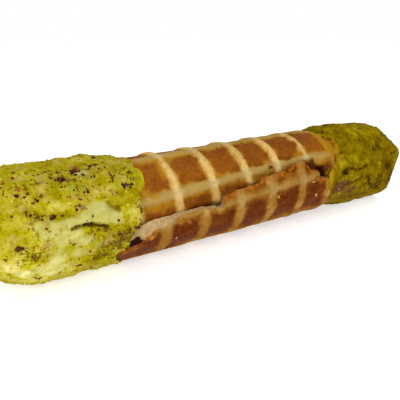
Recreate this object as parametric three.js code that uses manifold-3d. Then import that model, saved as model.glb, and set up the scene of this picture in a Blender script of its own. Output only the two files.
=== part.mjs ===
// A cannoli: a thin waffle sheet rolled askew into a tube, filled with pistachio cream that swells
// over both ends of the tube, where it is coated with crushed pistachio.
//
// The roll lies along X. Around it, an angle called turn is measured in degrees: 0 is the back (+Y),
// 90 the top, 180 the front (-Y) and 270 the underside. The sheet starts at its free edge, on the
// front, and winds down, behind, over the top and in under its own start, so turn runs past 360.

import * as THREE from 'three';
import { mergeVertices } from 'three/addons/utils/BufferGeometryUtils.js';
import Module from 'manifold-3d';

const wasm = await Module();
wasm.setup();

// ---- Driving dimensions: millimetres and degrees ----

const GAP = 0.3; // left between two pieces that touch

// The rolled sheet, from the near end (-X) to the far end (+X)
const SHEET_START = -52;
const SHEET_END = 57.5; // it slants, and reaches 6 mm further where it ends inside
const SHEET_THICKNESS = 1.1; // between its ribs
const FREE_EDGE_TURN = 144; // where the untorn sheet would start
const INNER_END_TURN = 580;
const FLAP_RADIUS = 14.3; // outer face between the ribs, along the free edge
const TURN_RADIUS = 13.1; // outer face round the underside, back and top
const TUCKED_RADIUS = 12.35; // outer face where the sheet goes in under its start
const FLAP_FLARE = 0.35; // the last of the free edge stands off by this much
const COVERED_RADII = [13.35, 12.65, 11.9]; // the same three, where the coated ends press it tighter
const NEAR_COVER = [-39, -31]; // stretches along X over which it is pressed in
const FAR_COVER = [39, 47];
const SETTLES = [188, 250]; // turns over which the outer face passes from the first radius to the second
const TUCKS_IN = [465, 525]; // and from the second to the third
const FLARES = [150, 176];
const OVERLAP = [145, 157]; // turns over which the outside of the roll steps up onto the free edge

// The ribs of the waffle: rings round the roll and long ribs along it, both a little askew
const RIB_HEIGHT = 0.6;
const RIB_TOP = 1.2;
const RIB_FOOT = 3.4;
const RING_PITCH = 11.72;
const RING_FIRST = -7.5; // a ring's place along X on the front, at turn 180
const RING_DRIFT = 0.01409; // mm along X for each degree of turn
const LONG_RIB_PITCH = 55.5; // degrees
const LONG_RIB_FIRST = 177.5; // at X = 0
const LONG_RIB_DRIFT = -0.296; // degrees for each mm along X
const RIBS_END = [534, 544]; // turns over which the ribs run out, where the sheet is tucked in
const FINE_ROWS = [-44, 52]; // the sheet shows along this stretch of X, and has all its ribs there
const CELL_LINES = [0.38, 0.62]; // more grid lines in a cell, as shares of the long ribs' pitch
const PRESSED_ROWS = [43.8, 46.6]; // more rows, where the far end's coating presses the sheet in
const OUTER_PER_INNER = 5; // rows on the outer face for each row on the inner one

// The torn free edge: [x, turn at the outer face, turn at the inner face]. Where the two differ,
// the tear is a bevel that lays the pale inside of the sheet bare.
const TORN_EDGE = [
  [-56, 212, 200],
  [-33, 208, 192],
  [-29, 203.5, 185],
  [-26.5, 201.5, 182],
  [-25.4, 193.5, 181],
  [-24.2, 188.5, 179.5],
  [-23.3, 186, 178.5],
  [-21, 186.5, 178],
  [-18.4, 183, 177.5],
  [-17.3, 180, 177.5],
  [-15.5, 177.5, 176.5],
  [-7.8, 176, 176],
  [-1.9, 181, 180],
  [-1.6, 169, 169],
  [2.6, 166, 167],
  [7.5, 162.5, 163.5],
  [11.2, 163.5, 164.5],
  [12, 157.5, 159],
  [17.6, 155.5, 157],
  [21, 155.5, 157],
  [24.8, 151, 152],
  [27, 147.5, 148.5],
  [30.4, 148, 149],
  [31.2, 160, 161],
  [34, 162, 163],
  [34.8, 173, 172],
  [40, 175, 174],
  [40.6, 160, 161],
  [66, 160, 160],
];
const TEAR_REACH = 4; // how far what is torn off stands out beyond the flap
const TEAR_BACK = 8; // degrees of turn that it takes in behind the untorn edge
const TEAR_STATION = 4; // mm between its sections, at most

// The swollen, coated ends
const CORE_RADIUS = 10.55; // the filling inside the tube
const PLUG_RADIUS = 10.7; // the filling where it meets a coated end
const CORE_SPAN = [-50, 60];
const AXIS_HEIGHT = 13.95; // of the roll above what it lies on
const NEAR_FACE = -61.4;
const NEAR_RADIUS = 14.75;
const NEAR_LIFT = 0.7; // the near end is fuller on one side than on the other
const LIFT_TURN = 65; // and this is the fuller side
const NEAR_ROUNDING = [9.5, 13.5]; // length over which it rounds off: the fuller side, the other side
const NEAR_DROP = 7.8; // and how far it rounds in
const FAR_FACE = 75.6;
const FAR_RADIUS = 14.25;
const FAR_ROUNDING = 3.5;
const FAR_DROP = 0.9;
const FAR_TAPER = { turn: 75, start: 58, slope: 0.09 }; // the far end thins towards its face on top
const SHOULDERS = [6.8, 10.5]; // length over which the coating thins out: on the front, elsewhere
const LIP = 0.45; // thickness of the coating at its very edge
const LUMP = 0.3; // unevenness of the coating
const CRUMB = 0.3; // and its roughness, one crushed nut to the next
const BULGE = 0.8; // how far the middle of an end stands out

// Flats struck on the far rim: the turn that each faces, its radius at the face, its slope
const FACETS = [
  [95, 11.6, 0.35],
  [122, 11.2, 0.4],
  [193, 11.75, 0.5],
];
const FACET_BLEND = 0.18; // rounds the edges between them
const FACET_REACH = 0.3; // the least cosine off a flat's own turn at which it still counts

// Where each end's coating stops on the wafer: [turn, X]
const NEAR_EDGE = [
  [0, -22.5],
  [40, -21.8],
  [75, -22.5],
  [103, -23.6],
  [124, -22.6],
  [138, -23],
  [150, -25],
  [163, -26.3],
  [179, -27],
  [184, -28.7],
  [190, -29.8],
  [195, -31.5],
  [203, -32.8],
  [212, -32.8],
  [225, -31.5],
  [242, -29],
  [275, -28],
  [320, -25],
];
const FAR_EDGE = [
  [0, 44.5],
  [45, 45],
  [94, 44.5],
  [106, 43.6],
  [118, 45],
  [126, 46.4],
  [135, 45.8],
  [149, 45],
  [157, 43.6],
  [161, 40.2],
  [168, 38.4],
  [180, 38.4],
  [189, 39],
  [197, 41],
  [211, 43.2],
  [242, 50],
  [285, 47],
  [330, 44],
];
const SLOT_MARGIN = 6; // the room for the sheet goes on this far past a coating's edge
const SLOT_START = 1.5; // and starts this far beyond the sheet's near end

// Crushed pistachio fused to the cream
const NEAR_NUTS = 82; // the largest bits, on the near end
const FAR_NUTS = 50;
const NUT_SIZE = [1.0, 1.9]; // their half lengths
const NUT_WIDTH = [0.6, 0.95]; // their widths and thicknesses, as shares of their lengths
const NUT_THICKNESS = [0.5, 0.75];
const NUT_SUNK = 0.36; // how deep they lie in the coat, as a share of that
const ROUNDER_NUT = 1.45; // those over this size have more faces
const NUTS_ON_FACE = 0.16; // share of an end's nuts that lie on its face
const NUT_MARGIN = 2.2; // kept free of them along the coating's edge
const BARE_PATCH = { x: -37.6, turn: 161, length: 7.4, width: 13.5 }; // smooth run of cream, no nuts

// ---- Small helpers ----

const rad = THREE.MathUtils.degToRad;
const smooth = THREE.MathUtils.smoothstep;

// Seeded random numbers from 0 to 1, so the nuts fall alike every time.
function randomFrom(seed) {
  let state = seed;
  return () => {
    state = (state + 0x6d2b79f5) | 0;
    let t = Math.imul(state ^ (state >>> 15), 1 | state);
    t = (t + Math.imul(t ^ (t >>> 7), 61 | t)) ^ t;
    return ((t ^ (t >>> 14)) >>> 0) / 4294967296;
  };
}

function pointAt(x, radius, turn) {
  return new THREE.Vector3(x, radius * Math.cos(rad(turn)), radius * Math.sin(rad(turn)));
}

// A geometry from a list of points and the triangles between them.
function meshOf(points, triangles) {
  const geometry = new THREE.BufferGeometry().setFromPoints(points);
  geometry.setIndex(triangles);
  return geometry;
}

// Two triangles for the four corners a, b, c, d taken in order.
function quad(a, b, c, d) {
  return [a, b, c, a, c, d];
}

function solidOf(geometry) {
  const bare = geometry.clone();
  bare.deleteAttribute('normal');
  bare.deleteAttribute('uv');
  const merged = mergeVertices(bare, 1e-4);
  const index = Array.from(merged.index.array);
  const kept = [];
  for (let i = 0; i < index.length; i += 3) {
    const [a, b, c] = index.slice(i, i + 3);
    if (a !== b && b !== c && c !== a) kept.push(a, b, c);
  }
  const vertProperties = new Float32Array(merged.attributes.position.array);
  const triVerts = new Uint32Array(kept);
  return new wasm.Manifold(new wasm.Mesh({ numProp: 3, vertProperties, triVerts }));
}

function geometryOf(solid) {
  const mesh = solid.getMesh();
  const geometry = new THREE.BufferGeometry();
  geometry.setAttribute('position', new THREE.BufferAttribute(mesh.vertProperties, mesh.numProp));
  geometry.setIndex(new THREE.BufferAttribute(mesh.triVerts, 1));
  geometry.computeVertexNormals();
  return geometry;
}

// Drops loose scraps and fills sealed hollows, by keeping the one largest body.
function largestBody(solid) {
  return solid.decompose().reduce((best, body) => (body.volume() > best.volume() ? body : best));
}

// ---- The wafer ----

// 0 where the wafer shows, 1 well inside the coated ends.
function covered(x) {
  return smooth(x, ...FAR_COVER) + 1 - smooth(x, ...NEAR_COVER);
}

function outerFace(x, turn) {
  const settle = smooth(turn, ...SETTLES);
  const tuck = smooth(turn, ...TUCKS_IN);
  const flare = FLAP_FLARE * (1 - smooth(turn, ...FLARES));
  const radiusOf = ([flap, round, tucked]) => flap + (round - flap) * settle + (tucked - round) * tuck;
  const shown = radiusOf([FLAP_RADIUS, TURN_RADIUS, TUCKED_RADIUS]) + flare;
  return shown + (radiusOf(COVERED_RADII) - shown) * covered(x);
}

// Height of the waffle ribs above the cells between them.
function ribs(x, turn) {
  const ring = (x - RING_FIRST - RING_DRIFT * (turn - 180)) / RING_PITCH;
  const long = (turn - LONG_RIB_FIRST - LONG_RIB_DRIFT * x) / LONG_RIB_PITCH;
  const toRing = Math.abs(ring - Math.round(ring)) * RING_PITCH;
  const toLong = Math.abs(long - Math.round(long)) * rad(LONG_RIB_PITCH) * TURN_RADIUS;
  const flat = smooth(Math.min(toRing, toLong), RIB_TOP / 2, RIB_FOOT / 2);
  const tucked = smooth(turn, ...RIBS_END);
  return RIB_HEIGHT * (1 - flat) * (1 - covered(x)) * (1 - tucked);
}

// Grid lines that follow the ribs: at each rib its two feet and two upper edges, and lines between.
function linesAlong(first, pitch, from, to, offsets) {
  const lines = [];
  for (let k = Math.floor((from - first) / pitch) - 1; first + k * pitch < to + pitch; k += 1) {
    for (const offset of offsets) lines.push(first + k * pitch + offset);
  }
  const inside = lines.filter((line) => line > from + 1 && line < to - 1);
  return [from, ...inside, to];
}

// The place where a ring line and a long line of the skewed grid cross.
function crossing(ringLine, longLine) {
  const x = (ringLine + RING_DRIFT * (longLine - 180)) / (1 - RING_DRIFT * LONG_RIB_DRIFT);
  return { x, turn: longLine + LONG_RIB_DRIFT * x };
}

function rolledSheet() {
  const foot = RIB_FOOT / 2;
  const top = RIB_TOP / 2;
  const degrees = 1 / (rad(1) * TURN_RADIUS);
  const ringOffsets = [-foot, -top, top, foot];
  const cellLines = CELL_LINES.map((share) => LONG_RIB_PITCH * share);
  const longOffsets = [...ringOffsets.map((offset) => offset * degrees), ...cellLines];
  const shown = linesAlong(RING_FIRST, RING_PITCH, SHEET_START, SHEET_END, ringOffsets);
  const isEnd = (i) => i === 0 || i === shown.length - 1;
  const fine = shown.filter((line, i) => isEnd(i) || (line > FINE_ROWS[0] && line < FINE_ROWS[1]));
  const rows = [...fine, ...PRESSED_ROWS].sort((a, b) => a - b);
  const longLines = linesAlong(
    LONG_RIB_FIRST, LONG_RIB_PITCH, FREE_EDGE_TURN, INNER_END_TURN, longOffsets,
  );
  const backRows = rows.map((_, i) => i).filter((i) => i % OUTER_PER_INNER === 0 || i === rows.length - 1);

  const points = [];
  const triangles = [];
  const outer = rows.map((row) => longLines.map((line) => {
    const { x, turn } = crossing(row, line);
    return points.push(pointAt(x, outerFace(x, turn) + ribs(x, turn), turn)) - 1;
  }));
  const inner = backRows.map((i) => longLines.map((line) => {
    const { x, turn } = crossing(rows[i], line);
    return points.push(pointAt(x, outerFace(x, turn) - SHEET_THICKNESS, turn)) - 1;
  }));
  const last = longLines.length - 1;
  for (let i = 0; i + 1 < rows.length; i += 1) {
    for (let j = 0; j < last; j += 1) {
      triangles.push(...quad(outer[i][j], outer[i][j + 1], outer[i + 1][j + 1], outer[i + 1][j]));
    }
  }
  for (let i = 0; i + 1 < inner.length; i += 1) {
    for (let j = 0; j < last; j += 1) {
      triangles.push(...quad(inner[i][j], inner[i + 1][j], inner[i + 1][j + 1], inner[i][j + 1]));
    }
    // The two long edges, where several outer rows meet one stretch of the inner face
    const middle = Math.floor((backRows[i] + backRows[i + 1]) / 2);
    for (let k = backRows[i]; k < backRows[i + 1]; k += 1) {
      const near = k < middle ? i : i + 1;
      triangles.push(outer[k][0], outer[k + 1][0], inner[near][0]);
      triangles.push(outer[k + 1][last], outer[k][last], inner[near][last]);
    }
    triangles.push(inner[i][0], outer[middle][0], inner[i + 1][0]);
    triangles.push(inner[i + 1][last], outer[middle][last], inner[i][last]);
  }
  const ends = [[outer[0], inner[0]], [outer[rows.length - 1], inner[inner.length - 1]]];
  for (let j = 0; j < last; j += 1) {
    triangles.push(...quad(ends[0][0][j + 1], ends[0][0][j], ends[0][1][j], ends[0][1][j + 1]));
    triangles.push(...quad(ends[1][0][j], ends[1][0][j + 1], ends[1][1][j + 1], ends[1][1][j]));
  }
  return solidOf(meshOf(points, triangles));
}

// What is torn off the free edge: a curved wall that stands between the two turns of the sheet.
function tornPiece() {
  const start = FREE_EDGE_TURN - TEAR_BACK;
  const steps = 6;
  const points = [];
  const triangles = [];
  const stations = TORN_EDGE.flatMap((from, i) => {
    const to = TORN_EDGE[i + 1] ?? from;
    const parts = Math.max(1, Math.ceil((to[0] - from[0]) / TEAR_STATION));
    const between = (share) => from.map((value, n) => value + (to[n] - value) * share);
    return Array.from({ length: parts }, (_, k) => between(k / parts));
  });
  const sections = stations.map(([x, atOuter, atInner]) => {
    const section = [];
    for (let i = 0; i <= steps; i += 1) {
      const turn = start + ((atInner - start) * i) / steps;
      section.push(points.push(pointAt(x, outerFace(x, turn) - SHEET_THICKNESS - GAP / 2, turn)) - 1);
    }
    for (let i = steps; i >= 0; i -= 1) {
      const turn = start + ((atOuter - start) * i) / steps;
      section.push(points.push(pointAt(x, FLAP_RADIUS + TEAR_REACH, turn)) - 1);
    }
    return section;
  });
  const count = sections[0].length;
  for (let i = 0; i + 1 < sections.length; i += 1) {
    for (let j = 0; j < count; j += 1) {
      const next = (j + 1) % count;
      triangles.push(...quad(sections[i][j], sections[i + 1][j], sections[i + 1][next], sections[i][next]));
    }
  }
  const first = sections[0];
  const final = sections[sections.length - 1];
  for (let i = 0; i < steps; i += 1) {
    const across = count - 1 - i;
    triangles.push(...quad(first[i], first[i + 1], first[across - 1], first[across]));
    triangles.push(...quad(final[across], final[across - 1], final[i + 1], final[i]));
  }
  return solidOf(meshOf(points, triangles));
}

// ---- The pistachio cream ----

// Slow lumps in the coating, from a few waves that never line up.
function lumps(x, turn) {
  const around = rad(turn);
  const long = Math.sin(0.62 * x + 2 * around + 1.3) + Math.sin(0.37 * x - 3 * around);
  const short = Math.sin(0.91 * x + 5 * around + 0.7) + Math.sin(1.13 * x - 4 * around + 2.1);
  return LUMP * (0.3 * long + 0.25 * short);
}

// X at which a coating stops, from its list of [turn, X].
function edgeAt(edge, turn) {
  const t = THREE.MathUtils.euclideanModulo(turn, 360);
  const after = edge.findIndex(([at]) => at > t);
  const [from, low] = edge[(after < 0 ? edge.length : after) - 1];
  const [to, high] = after < 0 ? [360, edge[0][1]] : edge[after];
  return low + ((high - low) * (t - from)) / (to - from);
}

// Outer surface of the wafer and of every rib on it, plus the clearance the cream keeps to it.
function slotRadius(x, turn) {
  const t = THREE.MathUtils.euclideanModulo(turn, 360);
  const wound = outerFace(x, t + 360);
  const flap = outerFace(x, Math.max(t, OVERLAP[1]));
  return wound + (flap - wound) * smooth(t, ...OVERLAP) + RIB_HEIGHT * (1 - covered(x)) + GAP;
}

// Thins a coating out towards its edge: roundly on the front, and more slowly elsewhere.
function shoulder(full, lip, distance, front) {
  const length = SHOULDERS[1] + (SHOULDERS[0] - SHOULDERS[1]) * front;
  const share = THREE.MathUtils.clamp(distance / length, 0, 1);
  const eased = front * Math.sin((Math.PI / 2) * share) + (1 - front) * smooth(share, 0, 1);
  return lip + (full - lip) * eased;
}

function rounded(full, drop, past, length) {
  const t = THREE.MathUtils.clamp(past / length, 0, 1);
  return full - drop * (1 - Math.sqrt(1 - t * t));
}

// The coating is nowhere thinner than its lip over the sheet inside it.
function thinnest(x, turn) {
  const overSheet = x > SHEET_START - SLOT_START && x < SHEET_END + SLOT_MARGIN;
  return overSheet ? slotRadius(x, turn) + LIP : 0;
}

function nearCoating(x, turn) {
  const up = Math.cos(rad(turn - LIFT_TURN));
  const rounding = NEAR_ROUNDING[1] + ((NEAR_ROUNDING[0] - NEAR_ROUNDING[1]) * (1 + up)) / 2;
  const side = NEAR_RADIUS + NEAR_LIFT * up + lumps(x, turn);
  const full = rounded(side, NEAR_DROP, NEAR_FACE + rounding - x, rounding);
  const front = Math.max(-Math.cos(rad(turn)), 0) ** 2;
  const radius = shoulder(full, slotRadius(x, turn) + LIP, edgeAt(NEAR_EDGE, turn) - x, front);
  return Math.max(radius, thinnest(x, turn));
}

function farCoating(x, turn) {
  const onTop = Math.max(Math.cos(rad(turn - FAR_TAPER.turn)), 0);
  const side = FAR_RADIUS + lumps(x, turn) - FAR_TAPER.slope * Math.max(x - FAR_TAPER.start, 0) * onTop;
  const full = rounded(side, FAR_DROP, x - FAR_FACE + FAR_ROUNDING, FAR_ROUNDING);
  const faces = FACETS.map(([facing, radius, slope]) => {
    const across = Math.max(Math.cos(rad(turn - facing)), FACET_REACH);
    return (radius + slope * (FAR_FACE - x)) / across;
  });
  // The least of them all, with the edges between them rounded
  const least = Math.min(full, ...faces);
  const sum = [full, ...faces].reduce((total, each) => total + Math.exp((least - each) / FACET_BLEND), 0);
  const struck = least - FACET_BLEND * Math.log(sum);
  const radius = shoulder(struck, slotRadius(x, turn) + LIP, x - edgeAt(FAR_EDGE, turn), 1);
  return Math.max(radius, thinnest(x, turn));
}

function onBarePatch(x, turn) {
  const along = (x - BARE_PATCH.x) / BARE_PATCH.length;
  const across = (turn - BARE_PATCH.turn) / BARE_PATCH.width;
  return along * along + across * across < 1;
}

// A coated end: rings of points from the middle of its face, along its side, to its edge on the
// wafer. share holds each ring's place along the side, from 0 at the face to 1 at the edge.
function coatedEnd(face, edge, coating, random) {
  const columns = 40;
  const rows = 15;
  const gathered = 1.25; // rings lie closer together near the face
  const bulge = face < 0 ? BULGE : -BULGE;
  const shares = Array.from({ length: rows + 1 }, (_, i) => Math.pow(i / rows, gathered));
  const points = [new THREE.Vector3(face, 0, 0)];
  const rings = [];
  const ring = (place) => {
    const turns = Array.from({ length: columns }, (_, j) => (360 * j) / columns);
    rings.push(turns.map((turn) => points.push(place(turn)) - 1));
  };
  for (const part of [0.25, 0.5, 0.75]) {
    ring((turn) => {
      const sunk = bulge * part * part + 2 * CRUMB * part * (random() - 0.5);
      return pointAt(face + sunk, coating(face, turn) * part, turn);
    });
  }
  for (const share of shares) {
    ring((turn) => {
      const x = face + bulge + (edgeAt(edge, turn) - face - bulge) * share;
      const rough = onBarePatch(x, turn) || share === 1 ? 0 : 2 * CRUMB * (random() - 0.5);
      return pointAt(x, coating(share === 0 ? face : x, turn) + rough, turn);
    });
  }
  const back = points.push(new THREE.Vector3(edgeAt(edge, 90), 0, 0)) - 1;
  const triangles = [];
  for (let j = 0; j < columns; j += 1) {
    const next = (j + 1) % columns;
    triangles.push(0, rings[0][next], rings[0][j]);
    for (let i = 0; i + 1 < rings.length; i += 1) {
      triangles.push(...quad(rings[i][j], rings[i][next], rings[i + 1][next], rings[i + 1][j]));
    }
    const rim = rings[rings.length - 1];
    triangles.push(back, rim[j], rim[next]);
  }
  if (face > 0) {
    for (let i = 0; i < triangles.length; i += 3) {
      [triangles[i], triangles[i + 1]] = [triangles[i + 1], triangles[i]];
    }
  }
  return solidOf(meshOf(points, triangles));
}

// The room that the rolled sheet needs inside a coated end: a tube from inside the end to past the
// coating's edge, with a station wherever the stretch that is pressed in curves.
function sheetSlot(from, to, [pressedFrom, pressedTo]) {
  const columns = 32;
  const steps = 4;
  const pressed = Array.from({ length: steps + 1 }, (_, i) => i / steps);
  const stations = [from, ...pressed.map((share) => pressedFrom + (pressedTo - pressedFrom) * share), to];
  const rows = stations.length - 1;
  const points = [];
  const triangles = [];
  const rings = [];
  for (const x of stations) {
    const ring = Array.from({ length: columns }, (_, j) => (360 * j) / columns);
    rings.push([
      ring.map((turn) => points.push(pointAt(x, slotRadius(x, turn), turn)) - 1),
      ring.map((turn) => points.push(pointAt(x, PLUG_RADIUS, turn)) - 1),
    ]);
  }
  for (let j = 0; j < columns; j += 1) {
    const next = (j + 1) % columns;
    for (let i = 0; i < rows; i += 1) {
      const [outer, inner] = rings[i];
      const [outerNext, innerNext] = rings[i + 1];
      triangles.push(...quad(outer[j], outer[next], outerNext[next], outerNext[j]));
      triangles.push(...quad(inner[next], inner[j], innerNext[j], innerNext[next]));
    }
    const [outerStart, innerStart] = rings[0];
    const [outerEnd, innerEnd] = rings[rows];
    triangles.push(...quad(outerStart[next], outerStart[j], innerStart[j], innerStart[next]));
    triangles.push(...quad(outerEnd[j], outerEnd[next], innerEnd[next], innerEnd[j]));
  }
  return solidOf(meshOf(points, triangles));
}

// One bit of nut: a rough many-sided lump, longer than it is thick, turned at random.
function nut(random) {
  const between = ([least, most], share) => least + (most - least) * share;
  const size = between(NUT_SIZE, random() ** 1.5);
  const Shape = size > ROUNDER_NUT ? THREE.IcosahedronGeometry : THREE.OctahedronGeometry;
  const shape = new Shape(1, 0);
  const width = size * between(NUT_WIDTH, random());
  const thickness = size * between(NUT_THICKNESS, random());
  const stretch = new THREE.Matrix4().makeScale(size, width, thickness);
  const spin = new THREE.Euler(6.3 * random(), 6.3 * random(), 6.3 * random());
  shape.applyMatrix4(stretch);
  shape.applyMatrix4(new THREE.Matrix4().makeRotationFromEuler(spin));
  return { shape, size };
}

// Nuts over the side of a coated end, spread by the golden angle with a little scatter, and over
// its face.
function nutsOn(face, edge, coating, count, random) {
  const solids = [];
  const golden = 137.508;
  const scatter = 20; // degrees
  const rim = 0.6; // mm kept free at the face's rim
  for (let i = 0; i < count; i += 1) {
    const place = (i + 0.5) / count;
    const turn = (i * golden + scatter * random()) % 360;
    const { shape, size } = nut(random);
    const sunk = NUT_SUNK * size;
    const inward = -Math.sign(face);
    let centre;
    if (place < NUTS_ON_FACE) {
      const radius = coating(face, turn) * Math.sqrt(place / NUTS_ON_FACE);
      centre = pointAt(face + inward * sunk, radius, turn);
    } else {
      const along = (place - NUTS_ON_FACE) / (1 - NUTS_ON_FACE);
      const stop = edgeAt(edge, turn) - inward * NUT_MARGIN;
      const x = face + inward * rim + (stop - face) * along;
      if (onBarePatch(x, turn)) continue;
      centre = pointAt(x, coating(x, turn) - sunk, turn);
    }
    shape.translate(centre.x, centre.y, centre.z);
    solids.push(solidOf(shape));
  }
  return solids;
}

function pistachioCream() {
  const random = randomFrom(7);
  const nearEnd = coatedEnd(NEAR_FACE, NEAR_EDGE, nearCoating, random);
  const farEnd = coatedEnd(FAR_FACE, FAR_EDGE, farCoating, random);
  const nuts = [
    ...nutsOn(NEAR_FACE, NEAR_EDGE, nearCoating, NEAR_NUTS, random),
    ...nutsOn(FAR_FACE, FAR_EDGE, farCoating, FAR_NUTS, random),
  ];
  const coreLength = CORE_SPAN[1] - CORE_SPAN[0];
  const core = new THREE.CylinderGeometry(CORE_RADIUS, CORE_RADIUS, coreLength, 32);
  core.rotateZ(Math.PI / 2);
  core.translate(CORE_SPAN[0] + coreLength / 2, 0, 0);
  const [floorLength, floorWidth, floorDepth] = [200, 60, 20];
  const floor = new THREE.BoxGeometry(floorLength, floorWidth, floorDepth);
  floor.translate(0, 0, -AXIS_HEIGHT - floorDepth / 2);
  const nearSlotEnd = Math.max(...NEAR_EDGE.map(([, x]) => x)) + SLOT_MARGIN;
  const farSlotStart = Math.min(...FAR_EDGE.map(([, x]) => x)) - SLOT_MARGIN;
  return largestBody(
    wasm.Manifold.union([nearEnd, farEnd, ...nuts])
      .subtract(sheetSlot(SHEET_START - SLOT_START, nearSlotEnd, NEAR_COVER))
      .subtract(sheetSlot(farSlotStart, SHEET_END + SLOT_MARGIN, FAR_COVER))
      .add(solidOf(core))
      .subtract(solidOf(floor)),
  );
}

// ---- The finished piece ----

const wafer = new THREE.MeshStandardMaterial({ color: '#b9763a', roughness: 0.6, metalness: 0 });
const pistachio = new THREE.MeshStandardMaterial({ color: '#a8a23c', roughness: 0.8, metalness: 0 });

const cannoli = new THREE.Group();

const waferRoll = new THREE.Mesh(geometryOf(largestBody(rolledSheet().subtract(tornPiece()))), wafer);
waferRoll.name = 'wafer_roll';
cannoli.add(waferRoll);

const creamFilling = new THREE.Mesh(geometryOf(pistachioCream()), pistachio);
creamFilling.name = 'pistachio_cream';
cannoli.add(creamFilling);

// The piece stands on the plane Z = 0, with the middle of its box over the origin.
const box = new THREE.Box3().setFromObject(cannoli);
const centre = box.getCenter(new THREE.Vector3());
cannoli.position.set(-centre.x, -centre.y, -box.min.z);

export default cannoli;
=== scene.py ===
import math

import bpy
import numpy as np
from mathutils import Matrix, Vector, noise


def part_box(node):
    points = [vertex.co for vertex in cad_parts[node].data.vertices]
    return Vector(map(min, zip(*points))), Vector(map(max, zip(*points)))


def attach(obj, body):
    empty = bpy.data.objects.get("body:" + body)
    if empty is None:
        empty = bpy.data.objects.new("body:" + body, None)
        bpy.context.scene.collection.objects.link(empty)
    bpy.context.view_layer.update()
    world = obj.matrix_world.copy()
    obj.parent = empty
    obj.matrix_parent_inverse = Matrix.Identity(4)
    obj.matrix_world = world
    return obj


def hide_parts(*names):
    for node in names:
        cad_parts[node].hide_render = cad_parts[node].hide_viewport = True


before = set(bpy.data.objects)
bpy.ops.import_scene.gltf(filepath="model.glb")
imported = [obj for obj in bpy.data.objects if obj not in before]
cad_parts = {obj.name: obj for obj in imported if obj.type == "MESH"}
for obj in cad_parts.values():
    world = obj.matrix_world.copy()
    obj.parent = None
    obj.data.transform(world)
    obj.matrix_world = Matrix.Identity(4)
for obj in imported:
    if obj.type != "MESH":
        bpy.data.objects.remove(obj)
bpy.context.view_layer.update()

# ---- Camera ----
# A long lens held above the near end of the roll, looking along it and a little down, so that the
# near end is large and the far end small.
MM = 0.001  # metres
CAMERA_AT = (-80.95, -112.77, 58.96)  # mm
CAMERA_TURN = (70.488, 0, -33.185)  # degrees
CAMERA_LENS, SENSOR_WIDTH = 43.2, 36  # mm
NEAREST_SEEN = 5  # mm

camera_data = bpy.data.cameras.new("camera")
camera_data.lens = CAMERA_LENS
camera_data.sensor_width = SENSOR_WIDTH
camera_data.clip_start = NEAREST_SEEN * MM
camera = bpy.data.objects.new("camera", camera_data)
camera.location = Vector(CAMERA_AT) * MM
camera.rotation_euler = [math.radians(angle) for angle in CAMERA_TURN]
bpy.context.scene.collection.objects.link(camera)
bpy.context.scene.camera = camera

# ---- Rolled waffle sheet ----
# A thin sheet of sweet batter, baked between two gridded irons and rolled a little askew while it
# was hot. It is one sheet: its torn free edge lies on the front, and it goes in under that edge.

# A place is given by x, in mm along the roll, and by turn, in degrees round it: 0 is the back, 90
# the top, 180 the front and 270 the underside, and on past 360 where the sheet overlaps.
AXIS_HEIGHT = 13.95  # of the roll's axis above the floor
SHEET_LEAST = (-51.73, -14.9)  # lowest x and y of the sheet, from the roll's own origin
SHEET_LINES = (-52, 57.5)  # the sheet's two cut ends, where they cross the front
SHEET_THICKNESS = 1.1
TURNS = (144, 580)  # untorn free edge, and the inner end
FLAP_JOIN = 238  # from here round, the sheet doesn't feel the tear
FACE_RADII = (14.3, 13.1, 12.35)  # outer face: at the free edge, round the back, tucked in
COVERED_RADII = (13.35, 12.65, 11.9)  # the same, where the coated ends press it tighter
NEAR_COVER, FAR_COVER = (-39, -31), (39, 47)  # x over which the coated ends close on it
SETTLES, TUCKS_IN = (188, 250), (465, 525)  # turns over which one radius passes into the next
FLAP_FLARE, FLARES = 0.35, (150, 176)  # how far the free edge stands off, and over which turns
RIB_HEIGHT = 0.6
RIB_TOP = 1.0
RIB_FOOT = 3.5
RIBS_END = (534, 544)  # turns over which the ribs run out, where the sheet is tucked in
RING_PITCH = 11.72
RING_FIRST = -7.5
RING_DRIFT = 0.01409  # mm along the roll for each degree round it
LONG_RIB_PITCH = 55.5  # degrees
LONG_RIB_FIRST = 177.5
LONG_RIB_DRIFT = -0.296  # degrees for each mm
LONG_RIB_BEND = 5.5  # degrees that it leans down by the far end, on the outermost turn
BENDS_ALONG, BENDS_ROUND = (32, 39), (440, 480)  # x and turns over which it leans
TORN_EDGE = np.array([  # x, turn of the tear at the outer face, turn at the inner face
    (-56, 212, 200), (-33, 208, 192), (-29, 203.5, 185), (-26.5, 201.5, 182), (-25.4, 193.5, 181),
    (-24.2, 188.5, 179.5), (-23.3, 186, 178.5), (-21, 186.5, 178), (-18.4, 183, 177.5),
    (-17.3, 180, 177.5), (-15.5, 177.5, 176.5), (-7.8, 176, 176), (-1.9, 181, 180), (-1.6, 169, 169),
    (2.6, 166, 167), (7.5, 162.5, 163.5), (11.2, 163.5, 164.5), (12, 157.5, 159), (17.6, 155.5, 157),
    (21, 155.5, 157), (24.8, 151, 152), (27, 147.5, 148.5), (30.4, 148, 149), (31.2, 160, 161),
    (34, 162, 163), (34.8, 173, 172), (40, 175, 174), (40.6, 160, 161), (66, 160, 160),
])
TEAR_LUMPS = 1.9  # mm
TEAR_WANDER, LEAST_WANDER = 3.2, 0.25  # degrees, and the share of them by the near end
RAGGED_FROM, TOASTED_FROM = (-4, 0), (-3, -1)  # x over which the tear becomes ragged, and its rim toasted
# By the near end the flap's rim is its long rib, and the last ring was pressed flat, which counts as
# being some mm farther off
RIM_RIB = {"x": (-27, -23, -3, -1.8), "turns": (190, 200)}
PRESSED_RING = {"x": (-29, -27), "turns": (192, 201, 235, 260), "farther": 3}
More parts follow.
